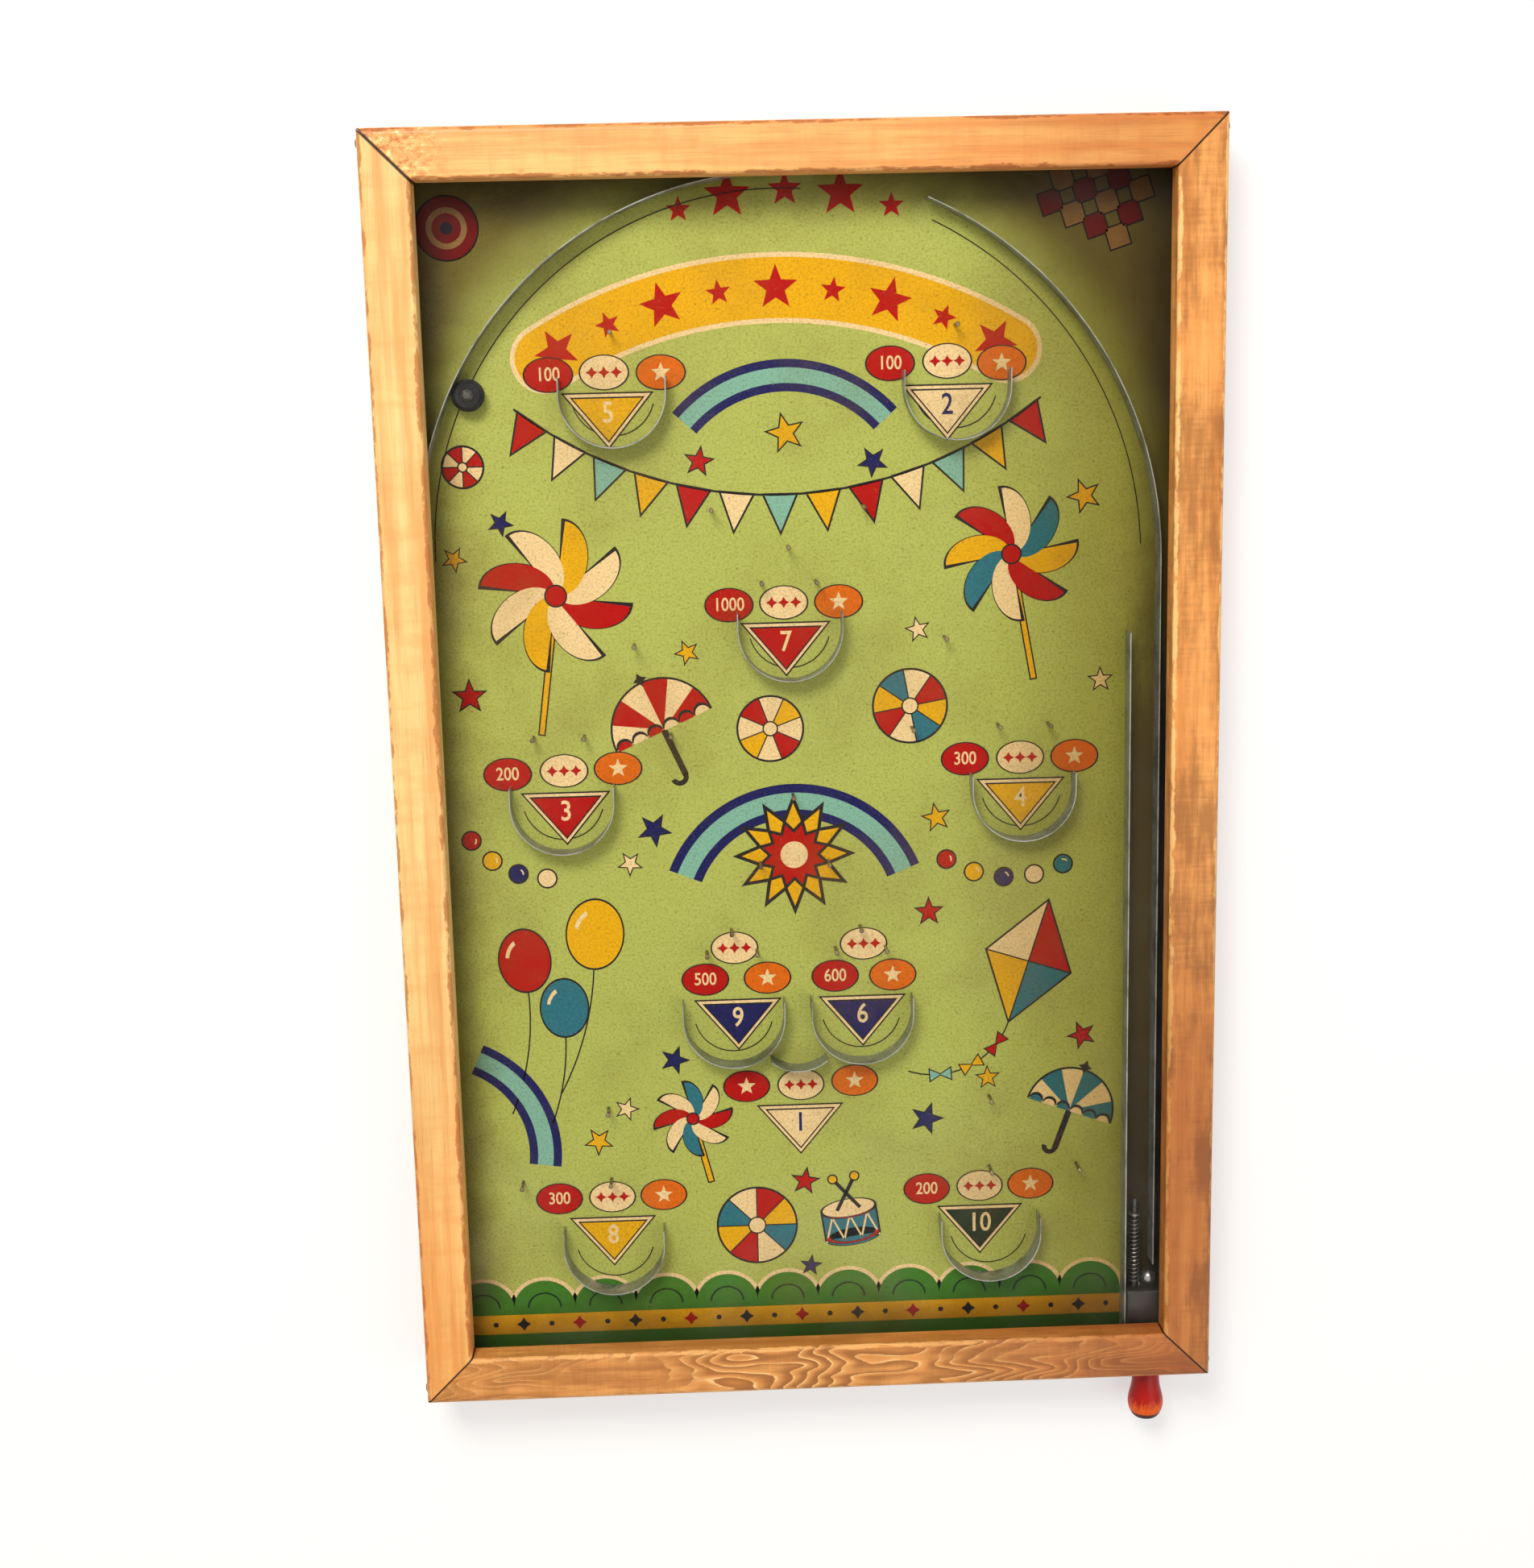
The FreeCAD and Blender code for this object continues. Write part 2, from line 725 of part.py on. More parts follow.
# Rubber bumper on a nail, just inside the arch strip
BUMPER_REACH = f"(arch_radius - {HALF_SHEET} - bumper_radius - fit_gap)"
BUMPER_X = f"arch_x + {BUMPER_REACH} * cos(bumper_angle)"
BUMPER_Y = f"arch_y + {BUMPER_REACH} * sin(bumper_angle)"


def make_bumper():
    body = new_body("bumper_rubber")
    ring = new_sketch(body, "XZ_Plane")
    inner, outer, top = ("bumper_nail_radius", "bumper_radius", "bumper_height")
    polygon(ring, [
        (inner, "0"),
        (f"{outer} - bumper_round", "0"),
        (outer, "bumper_round"),
        (outer, f"{top} - bumper_round"),
        (f"{outer} - bumper_round", top),
        (inner, top),
    ])
    revolve(body, ring)
    place(body, BUMPER_X, BUMPER_Y, "field_height")
    head = value("bumper_nail_radius")
    length = value("bumper_height + field_thickness - bumper_nail_back") + head
    shape = nail(head, length, value("bumper_head_radius"), head)
    group = keep_group("bumper_nail", [shape])
    place(group, BUMPER_X, BUMPER_Y, f"{FIELD_BACK} + bumper_nail_back")


make_bumper()


# Plunger rod: bent wire with a jog, so that the knob stands beside the spring's line
JOG_Y = "(housing_front_y - housing_wall - fit_gap)"
ROD_END_Y = "(-board_length / 2 - fit_gap - knob_socket)"


def make_rod():
    body = new_body("plunger_rod")
    spine = new_sketch(body, "XY_Plane")
    bend_x = f"rod_x + {BEND_RADIUS}"
    draw(spine, ("rod_x", "rod_tip_y"), [
        ("line", "rod_x", JOG_Y),
        ("arc", bend_x, JOG_Y, bend_x, f"{JOG_Y} - {BEND_RADIUS}", 1),
        ("arc", bend_x, f"{JOG_Y} - 2 * {BEND_RADIUS}", "knob_x",
         f"{JOG_Y} - 2 * {BEND_RADIUS}", -1),
        ("line", "knob_x", ROD_END_Y),
    ], closed=False)
    section = new_sketch(body, "XZ_Plane", "-rod_tip_y")
    circle(section, "rod_x", "0", "rod_radius")
    sweep(body, section, spine)
    place(body, "0", "0", ROD_UP)


make_rod()

# Turned pieces on the plunger: their own axis points towards the player
TOWARDS_PLAYER = FreeCAD.Rotation(Vector(1, 0, 0), 90)


def make_knob():
    body = new_body("plunger_knob")
    side = new_sketch(body, "XZ_Plane")
    polygon(side, [
        ("rod_radius", "0"),
        ("knob_neck_radius", "0"),
        ("knob_neck_radius", "knob_neck_length"),
        ("knob_belly_radius", "knob_belly_start"),
        ("knob_belly_radius", "knob_belly_end"),
        ("knob_end_radius", "knob_length"),
        ("0", "knob_length"),
        ("0", "knob_socket"),
        ("rod_radius", "knob_socket"),
    ])
    revolve(body, side)
    belly = [value("knob_belly_start"), value("knob_belly_end"), value("knob_neck_length")]

    def on_the_belly(edge):
        box = edge.BoundBox
        wide = box.XLength > 2 * value("rod_radius") + 1
        return wide and box.ZLength < 0.01 and min(abs(box.ZMin - up) for up in belly) < 0.01

    fillet(body, "knob_round", on_the_belly)
    body.Placement = FreeCAD.Placement(Vector(), TOWARDS_PLAYER)
    place(body, "knob_x", "-board_length / 2 - fit_gap", ROD_UP)


def make_collar():
    body = new_body("plunger_collar")
    ring = new_sketch(body, "XZ_Plane")
    polygon(ring, [("rod_radius", "0"), ("collar_radius", "0"),
                   ("collar_radius", "collar_thickness"), ("rod_radius", "collar_thickness")])
    revolve(body, ring)
    body.Placement = FreeCAD.Placement(Vector(), TOWARDS_PLAYER)
    place(body, "rod_x", "collar_y + collar_thickness", ROD_UP)


make_knob()
make_collar()


# Two arcs that meet with one tangent, from one point and direction to another
def biarc(start, start_way, end, end_way):
    span = end - start
    both = start_way + end_way
    a = both.dot(both) - 4
    b = -2 * span.dot(both)
    c = span.dot(span)
    reach = (-b - math.sqrt(b * b - 4 * a * c)) / (2 * a)
    first, second = (start + start_way * reach, end - end_way * reach)
    joint = (first + second) * 0.5
    return [arc_by_corner(start, first, joint), arc_by_corner(joint, second, end)]


# The arc that leaves one point towards a corner and reaches the other from it
def arc_by_corner(start, corner, end):
    chord_middle = (start + end) * 0.5
    cosine = (end - start).Length / 2 / (corner - start).Length
    top = chord_middle + (corner - chord_middle) * (cosine / (1 + cosine))
    return Part.Arc(start, top, end).toShape()


# Plunger spring, along its own Z from the housing to the collar: a straight end of one
# wire diameter, a bend into the coil, the coil, and the same again at the other end.
def make_spring():
    wire = value("spring_wire_radius")
    radius = value("spring_radius") - wire
    bend = value("spring_end_bend")
    turns = int(value("spring_turns"))
    length = value("spring_length")
    lift = 2 * wire + bend
    pitch = (length - 2 * lift) / turns

    def on_coil(turn):
        angle = 2 * math.pi * turn
        return Vector(radius * math.cos(angle), radius * math.sin(angle), lift + pitch * turn)

    def way(turn):
        angle = 2 * math.pi * turn
        slope = pitch / (2 * math.pi * radius)
        return Vector(-math.sin(angle), math.cos(angle), slope).normalize()

    def end_bend(turn, sign):
        spot, along = on_coil(turn), way(turn) * sign
        axis = Vector(0, 0, sign)
        turned = math.acos(along.dot(axis))
        reach = bend * math.tan(turned / 2)
        corner = spot + along * reach
        past = corner + axis * reach
        tip = Vector(past.x, past.y, length if sign > 0 else 0)
        return spot, corner, past, tip

    spot, corner, past, tip = end_bend(0, -1)
    edges = [Part.LineSegment(tip, past).toShape(), arc_by_corner(past, corner, spot)]
    quarters = turns * 4
    for quarter in range(quarters):
        low, high = quarter / 4, (quarter + 1) / 4
        edges += biarc(on_coil(low), way(low), on_coil(high), way(high))
    spot, corner, past, tip = end_bend(turns, 1)
    edges += [arc_by_corner(spot, corner, past), Part.LineSegment(past, tip).toShape()]
    path = Part.Wire(edges)
    start = edges[0].Vertexes[0].Point
    section = small_ring(wire, WIRE_SIDES)
    section.translate(start)
    tube = path.makePipeShell([section], True, False)
    print("spring: turns", turns, "pitch", round(pitch, 3),
          "least gap", round(least_gap(path, wire, pitch), 3))
    spring = document.addObject("Part::Feature", "plunger_spring")
    spring.Shape = tube
    spring.Placement = FreeCAD.Placement(Vector(), FreeCAD.Rotation(Vector(1, 0, 0), -90))
    keep(spring, "plunger_spring")
    place(spring, "rod_x", "housing_front_y", ROD_UP)


# Least gap of a tube to itself, between points further apart along it than one pitch
def least_gap(path, wire, pitch):
    count = 1600
    points = path.discretize(Number=count)
    step = path.Length / (count - 1)
    apart = int(2 * pitch / step) + 1
    least = math.inf
    for index, point in enumerate(points):
        for other in points[index + apart:index + 12 * apart]:
            least = min(least, (point - other).Length)
    return least - 2 * wire


make_spring()


# The loose ball: beside the spring and against the housing, on the field
def make_ball():
    ball = keep(document.addObject("Part::Sphere", "steel_ball"), "steel_ball")
    ball.setExpression("Radius", formula("ball_radius"))
    place(ball, "rod_x + spring_radius + ball_radius + ball_gap",
          "housing_front_y + ball_radius + fit_gap", "field_height + ball_radius + ball_lift")


make_ball()


# Case nails: two at every corner, driven through the side rails into the end rails
def make_case_nails():
    length = value("corner_nail_length")
    head = value("corner_nail_radius")
    shape = nail(head, length, value("corner_nail_head"), head)
    solids = []
    for side in (-1, 1):
        for end in (-1, 1):
            for up in (value("corner_nail_top"), value("corner_nail_low")):
                spot = Vector(side * (value("board_width / 2") - length + head),
                              end * value("board_length / 2 - corner_nail_inset"), up)
                solid = shape.copy()
                solid.rotate(Vector(), Vector(0, 1, 0), 90 * side)
                solids.append(solid.translated(spot))
    place(keep_group("case_nails", solids))


# Brads that hold the field up against the shoulder of the rails, heads at the back:
# where they stand along the long and the short rails, as shares of half their length
SIDE_BRADS = (-0.84, -0.3, 0.3, 0.84)
END_BRADS = (-0.6, 0.6)


def make_brads():
    length = value("brad_length")
    radius = value("brad_radius")
    shape = nail(radius, length, value("brad_head"), radius)
    shape.rotate(Vector(), Vector(1, 0, 0), 180)
    line_x = value("board_width / 2 - (rear_wall + side_wall) / 2")
    line_y = value("board_length / 2 - (rear_wall + side_wall) / 2")
    spots = []
    for side in (-1, 1):
        spots += [(side * line_x, share * line_y) for share in SIDE_BRADS]
        spots += [(share * line_x, side * line_y) for share in END_BRADS]
    lift = length - radius
    solids = [shape.translated(Vector(x, y, lift)) for x, y in spots]
    place(keep_group("field_brads", solids), "0", "0", FIELD_BACK)


make_case_nails()
make_brads()


# Wire stand behind the head: a bail that turns in two staples and folds into the back
def make_stand():
    body = new_body("wire_stand")
    spine = new_sketch(body, "XY_Plane")
    w, leg, bend = ("stand_half_width", "stand_leg", "stand_bend")
    end_x = f"({w} + stand_stub)"
    draw(spine, (f"-{end_x}", "0"), [
        ("line", f"-({w} + {bend})", "0"),
        ("arc", f"-({w} + {bend})", f"-{bend}", f"-{w}", f"-{bend}", -1),
        ("line", f"-{w}", f"-({leg} - {bend})"),
        ("arc", f"-({w} - {bend})", f"-({leg} - {bend})", f"-({w} - {bend})", f"-{leg}", 1),
        ("line", f"{w} - {bend}", f"-{leg}"),
        ("arc", f"{w} - {bend}", f"-({leg} - {bend})", w, f"-({leg} - {bend})", 1),
        ("line", w, f"-{bend}"),
        ("arc", f"{w} + {bend}", f"-{bend}", f"{w} + {bend}", "0", -1),
        ("line", end_x, "0"),
    ], closed=False)
    section = new_sketch(body, "YZ_Plane", f"-{end_x}")
    circle(section, "0", "0", "stand_wire_radius")
    sweep(body, section, spine)
    place(body, "0", "stand_pivot_y", "stand_pivot_up")


# A staple over each end of the stand: two legs into the field and a half round loop
def make_staples():
    wire = value("staple_wire_radius")
    reach = value("stand_wire_radius + staple_clearance") + wire
    rise = value(f"{FIELD_BACK} + staple_bite - stand_pivot_up")
    path = Part.Wire([
        Part.LineSegment(Vector(0, -reach, rise), Vector(0, -reach, 0)).toShape(),
        Part.Arc(Vector(0, -reach, 0), Vector(0, 0, -reach), Vector(0, reach, 0)).toShape(),
        Part.LineSegment(Vector(0, reach, 0), Vector(0, reach, rise)).toShape(),
    ])
    section = small_ring(wire, WIRE_SIDES)
    section.translate(Vector(0, -reach, rise))
    staple = path.makePipeShell([section], True, False)
    out = value("stand_half_width + (stand_bend + stand_stub) / 2")
    solids = [staple.translated(Vector(side * out, 0, 0)) for side in (-1, 1)]
    place(keep_group("stand_staples", solids), "0", "stand_pivot_y", "stand_pivot_up")


make_stand()
make_staples()


def check_and_write():
    document.recompute()
    faults = []
    for thing in document.Objects:
        if "Invalid" in thing.State or "Error" in thing.State:
            faults.append(f"{thing.Label}: {thing.State}")
    for piece in pieces:
        if piece.Shape.isNull() or not piece.Shape.isValid():
            faults.append(f"{piece.Label}: shape is not valid")
    if faults:
        raise RuntimeError("; ".join(faults))
    os.makedirs("parts", exist_ok=True)
    for piece in pieces:
        piece.Shape.exportStep(f"parts/{piece.Label}.step")
        box = piece.Shape.BoundBox
        print(f"{piece.Label:20s} solids {len(piece.Shape.Solids):3d}"
              f"  x {box.XMin:8.2f} {box.XMax:8.2f}  y {box.YMin:8.2f} {box.YMax:8.2f}"
              f"  z {box.ZMin:6.2f} {box.ZMax:6.2f}")


check_and_write()
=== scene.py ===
import json
import math

import bmesh
import bpy
from mathutils import Matrix, Vector
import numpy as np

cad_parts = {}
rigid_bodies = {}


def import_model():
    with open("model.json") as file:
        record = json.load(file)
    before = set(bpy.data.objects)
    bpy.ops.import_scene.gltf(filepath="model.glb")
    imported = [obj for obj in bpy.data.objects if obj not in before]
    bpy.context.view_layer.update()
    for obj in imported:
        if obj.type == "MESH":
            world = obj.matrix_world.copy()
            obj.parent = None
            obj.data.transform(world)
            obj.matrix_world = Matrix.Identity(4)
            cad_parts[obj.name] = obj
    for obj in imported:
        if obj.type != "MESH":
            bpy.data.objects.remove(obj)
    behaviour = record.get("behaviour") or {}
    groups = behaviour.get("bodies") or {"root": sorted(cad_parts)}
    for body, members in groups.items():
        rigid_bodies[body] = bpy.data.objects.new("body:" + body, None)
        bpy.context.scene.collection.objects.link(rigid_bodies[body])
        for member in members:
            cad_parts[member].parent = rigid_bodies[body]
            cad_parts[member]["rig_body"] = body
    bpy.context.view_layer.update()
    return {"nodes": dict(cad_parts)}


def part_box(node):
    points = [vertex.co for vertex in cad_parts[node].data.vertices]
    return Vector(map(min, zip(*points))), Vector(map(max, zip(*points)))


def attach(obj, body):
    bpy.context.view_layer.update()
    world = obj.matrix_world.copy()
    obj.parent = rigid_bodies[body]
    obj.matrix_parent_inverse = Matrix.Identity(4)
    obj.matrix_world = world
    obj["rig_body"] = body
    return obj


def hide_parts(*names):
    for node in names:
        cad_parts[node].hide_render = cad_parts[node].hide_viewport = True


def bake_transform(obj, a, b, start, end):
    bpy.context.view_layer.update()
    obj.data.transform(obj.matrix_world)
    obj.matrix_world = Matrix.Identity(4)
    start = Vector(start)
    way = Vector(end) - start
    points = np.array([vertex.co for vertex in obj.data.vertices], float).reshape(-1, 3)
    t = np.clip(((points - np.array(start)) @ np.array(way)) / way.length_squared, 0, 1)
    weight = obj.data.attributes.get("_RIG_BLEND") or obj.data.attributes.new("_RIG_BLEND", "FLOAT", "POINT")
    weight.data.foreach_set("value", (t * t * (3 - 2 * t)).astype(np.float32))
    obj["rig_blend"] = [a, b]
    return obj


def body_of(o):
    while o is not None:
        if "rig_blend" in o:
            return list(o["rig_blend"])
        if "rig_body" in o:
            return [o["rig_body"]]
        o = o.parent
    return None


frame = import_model()
nodes = frame["nodes"]
mm = 0.001
print("frame loaded,", len(nodes), "nodes")


# A colour as it is seen, 0 to 255, to the linear one; a share below 1 darkens it
def tone(colour, share=1.0):
    linear = []
    for part in colour:
        c = part * share / 255
        linear.append(c / 12.92 if c <= 0.04045 else ((c + 0.055) / 1.055) ** 2.4)
    return (*linear, 1.0)


# Small helpers for node trees. Inputs are numbers, colours or the outputs of other nodes
def fill(tree, node, inputs):
    for name, value in inputs.items():
        socket = node.inputs[name]
        if isinstance(value, bpy.types.NodeSocket):
            tree.links.new(value, socket)
        else:
            socket.default_value = value


def addNode(tree, kind, inputs=None, **settings):
    node = tree.nodes.new("ShaderNode" + kind)
    for name, value in settings.items():
        setattr(node, name, value)
    fill(tree, node, inputs or {})
    return node


def calc(tree, operation, a, b=0.0, clamp=False):
    return addNode(tree, "Math", {0: a, 1: b}, operation=operation, use_clamp=clamp).outputs[0]


def times(tree, a, b):
    return calc(tree, "MULTIPLY", a, b)


def plus(tree, a, b):
    return calc(tree, "ADD", a, b)


def minus(tree, a, b):
    return calc(tree, "SUBTRACT", a, b)


def mixColour(tree, factor, a, b, blend="MIX"):
    return addNode(tree, "Mix", {0: factor, 6: a, 7: b}, data_type="RGBA",
                   blend_type=blend).outputs[2]


def tint(tree, colour, mask, ink, blend="MIX"):  # an ink, 0 to 255, laid over a colour
    return mixColour(tree, mask, colour, tone(ink), blend)


def band(tree, value, low, high, outLow=0.0, outHigh=1.0):  # smooth step from low to high
    return addNode(tree, "MapRange", {
        "Value": value, "From Min": low, "From Max": high, "To Min": outLow, "To Max": outHigh,
    }, interpolation_type="SMOOTHSTEP").outputs["Result"]


def plainNoise(tree, vector, scale, detail, roughness):
    return addNode(tree, "TexNoise", {"Vector": vector, "Scale": scale, "Detail": detail,
                                      "Roughness": roughness}).outputs["Fac"]


def noise(tree, vector, scale, detail=4.0, roughness=0.55, stretch=(1, 1, 1), shift=(0, 0, 0)):
    mapping = addNode(tree, "Mapping", {"Vector": vector, "Scale": stretch, "Location": shift})
    return plainNoise(tree, mapping.outputs[0], scale, detail, roughness)


def newGroup(name, inputs, outputs):
    tree = bpy.data.node_groups.new(name, "ShaderNodeTree")
    for title, kind, value in inputs:
        socket = tree.interface.new_socket(title, in_out="INPUT", socket_type="NodeSocket" + kind)
        socket.default_value = value
    for title, kind in outputs:
        tree.interface.new_socket(title, in_out="OUTPUT", socket_type="NodeSocket" + kind)
    given = tree.nodes.new("NodeGroupInput").outputs
    return tree, given, tree.nodes.new("NodeGroupOutput")


def useGroup(tree, group, inputs):
    return addNode(tree, "Group", inputs, node_tree=group).outputs


def newMaterial(name, inputs):
    material = bpy.data.materials.new(name)
    material.use_nodes = True
    tree = material.node_tree
    shader = tree.nodes["Principled BSDF"]
    fill(tree, shader, inputs)
    return material, tree, shader


def split(tree, vector):
    return addNode(tree, "SeparateXYZ", {0: vector}).outputs


def objectPlace(tree):  # Object coordinates in millimetres
    place = addNode(tree, "TexCoord").outputs["Object"]
    return addNode(tree, "VectorMath", {0: place, "Scale": 1 / mm}, operation="SCALE").outputs[0]


def bump(tree, shader, height, distance, strength=0.5):
    node = addNode(tree, "Bump", {"Height": height, "Distance": distance * mm,
                                  "Strength": strength})
    fill(tree, shader, {"Normal": node.outputs[0]})


# Small helpers for objects
def dress(name, material):
    data = nodes[name].data
    data.materials.clear()
    data.materials.append(material)


def addObject(name, data):
    thing = bpy.data.objects.new(name, data)
    bpy.context.scene.collection.objects.link(thing)
    return thing


def meshObject(mesh, name, material):  # an object made of a finished bmesh
    data = bpy.data.meshes.new(name)
    mesh.to_mesh(data)
    mesh.free()
    data.materials.append(material)
    return addObject(name, data)


# Sizes of the wooden case in millimetres, read from the frame
rightLow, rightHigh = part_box("frame_rail_right")
cupLow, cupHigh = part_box("cup_centre")
headY, footY = (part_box("frame_rail_top")[1][1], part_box("frame_rail_bottom")[0][1])
case = {
    "halfWidth": rightHigh[0] / mm,
    "middleY": (headY + footY) / 2 / mm,
    "halfLength": (headY - footY) / 2 / mm,
    "depth": rightHigh[2] / mm,
    "railFace": (rightHigh[0] - rightLow[0]) / mm,
    "fieldTop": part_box("playfield_board")[1][2] / mm,
    "fieldMiddleX": (cupLow[0] + cupHigh[0]) / 2 / mm,
}


# Wear and dirt that several finishes share
def makeStainGroup():
    tree, given, result = newGroup(
        "stains",
        [("Vector", "Vector", (0, 0, 0)), ("Size", "Float", 40.0), ("Amount", "Float", 0.5)],
        [("Mask", "Float"), ("Speckle", "Float")])
    place = given["Vector"]
    broad = plainNoise(tree, place, calc(tree, "DIVIDE", 1.0, given["Size"]), 6.0, 0.62)
    fine = plainNoise(tree, place, 0.9, 3.0, 0.7)
    cloud = band(tree, broad, 0.42, 0.72)
    fill(tree, result, {"Mask": calc(tree, "MULTIPLY", cloud, given["Amount"], clamp=True),
                        "Speckle": band(tree, fine, 0.35, 0.65)})
    return tree


# Pine with the grain along X: fine fibres, soft figure, short dark flecks, ripple across
def makeGrainGroup():
    tree, given, result = newGroup(
        "woodGrain", [("Vector", "Vector", (0, 0, 0))],
        [("Fibres", "Float"), ("Figure", "Float"), ("Flecks", "Float"), ("Ripple", "Float")])
    place = given["Vector"]
    flecks = noise(tree, place, 1.0, 4.0, 0.75, (0.22, 1.0, 1.0), (31, 7, 5))
    fill(tree, result, {
        "Fibres": noise(tree, place, 1.0, 5.0, 0.62, (0.035, 1.5, 1.5)),
        "Figure": noise(tree, place, 1.0, 3.0, 0.5, (0.006, 0.13, 0.13), (9, 4, 2)),
        "Flecks": band(tree, flecks, 0.66, 0.74),
        "Ripple": noise(tree, place, 1.0, 3.0, 0.6, (0.11, 0.03, 0.03), (3, 0, 8))})
    return tree


stains = makeStainGroup()
woodGrain = makeGrainGroup()


def stainMarks(tree, place, patch, amount):
    return useGroup(tree, stains, {"Vector": place, "Size": patch, "Amount": amount})


# Rails: varnished pine. The left one is pale, the right and the bottom ones browner. Only
# the bottom one is worn in scales, and only the top one has crumbled varnish at its left
# end. The last entry is painted shade that darkens each rail away from the top left: where along the rail it
# starts and is full, and its tone
rails = {
    "frame_rail_left": {
        "light": (247, 208, 136), "deep": (230, 160, 88), "shift": 0,
        "varnish": 0.12, "edge": (178, 100, 40),
        "paintedShade": (-60, -280, (252, 226, 196))},
    "frame_rail_top": {
        "light": (246, 188, 112), "deep": (226, 146, 76), "shift": 170,
        "varnish": 0.2, "edge": (160, 84, 32), "crumbled": 0.85,
        "paintedShade": (20, 190, (222, 194, 168))},
    "frame_rail_right": {
        "light": (244, 170, 92), "deep": (216, 134, 62), "shift": 410,
        "varnish": 0.72, "edge": (255, 206, 134),
        "paintedShade": (60, -160, (204, 184, 154))},
    "frame_rail_bottom": {
        "light": (232, 160, 86), "deep": (190, 116, 50), "shift": 730,
        "varnish": 0.6, "edge": (238, 176, 104), "scaleRim": (252, 208, 140),
        "paintedShade": (20, 190, (204, 174, 146))},
}
railWear = {
    "varnishTone": (150, 92, 36), "faceDepth": 3.0, "edgeWide": 3.4,
    # part of the grain, where it starts and is full, how much it shows, how dark it is
    "grain": [("Figure", 0.36, 0.66, 0.8, 1.0), ("Ripple", 0.42, 0.68, 0.35, 1.0),
              ("Fibres", 0.5, 0.75, 0.42, 0.72)],
    "flecks": 0.55, "fleckShade": 0.5,
    "streaks": 0.26, "sawn": 0.12, "broad": 0.62,
    "scaleSteps": 11.0, "scaleMiddle": 10.0, "scaleFull": 20.0, "scaleReach": 190.0,
    "scaleLean": 0.006, "bare": 0.7, "stained": 0.8, "rim": 0.85,
    "crumbFull": 16.0, "crumbLong": 46.0,
    "crumbs": [(0.5, 0.6, (188, 104, 34)), (0.44, 0.38, (255, 224, 158))],
    "mitreWide": 1.0, "mitreDark": (40, 18, 6), "mitreOpen": 0.45,
    "backDarkening": 0.5, "backFrom": 12.0, "backFull": 2.0,
}


# Worn varnish in overlapping scales: each has a pale rim and darkens away from it
def wearInScales(tree, look, colour, along, x, fibres, front):
    chip = noise(tree, along, 1.0, 1.5, 0.4, (0.017, 0.075, 0.075), (3, 0, 1))
    chip = plus(tree, chip, times(tree, fibres, 0.02))
    chip = plus(tree, chip, times(tree, x, railWear["scaleLean"]))
    scale = calc(tree, "FRACT", times(tree, chip, railWear["scaleSteps"]))
    fromMiddle = calc(tree, "ABSOLUTE", minus(tree, x, railWear["scaleMiddle"]))
    wornHere = times(tree, front, band(tree, fromMiddle, railWear["scaleReach"],
                                       railWear["scaleFull"], 0.25))
    patches = noise(tree, along, 0.02, 3.0, 0.5, (1, 2, 2), (77, 0, 0))
    wornHere = times(tree, wornHere, band(tree, patches, 0.4, 0.56))
    bare = times(tree, band(tree, scale, 0.7, 0.04), wornHere)
    stained = times(tree, band(tree, scale, 0.3, 0.9), wornHere)
    uneven = noise(tree, along, 0.11, 3.0, 0.5, (1, 2, 2), (15, 0, 9))
    rim = times(tree, times(tree, band(tree, scale, 0.26, 0.05), band(tree, scale, 0.0, 0.035)),
                times(tree, wornHere, band(tree, uneven, 0.42, 0.58, 0.2, 1.0)))
    for mask, amount, ink in ((bare, "bare", look["light"]),
                              (stained, "stained", railWear["varnishTone"]),
                              (rim, "rim", look["scaleRim"])):
        colour = tint(tree, colour, times(tree, mask, railWear[amount]), ink)
    return colour, bare, rim


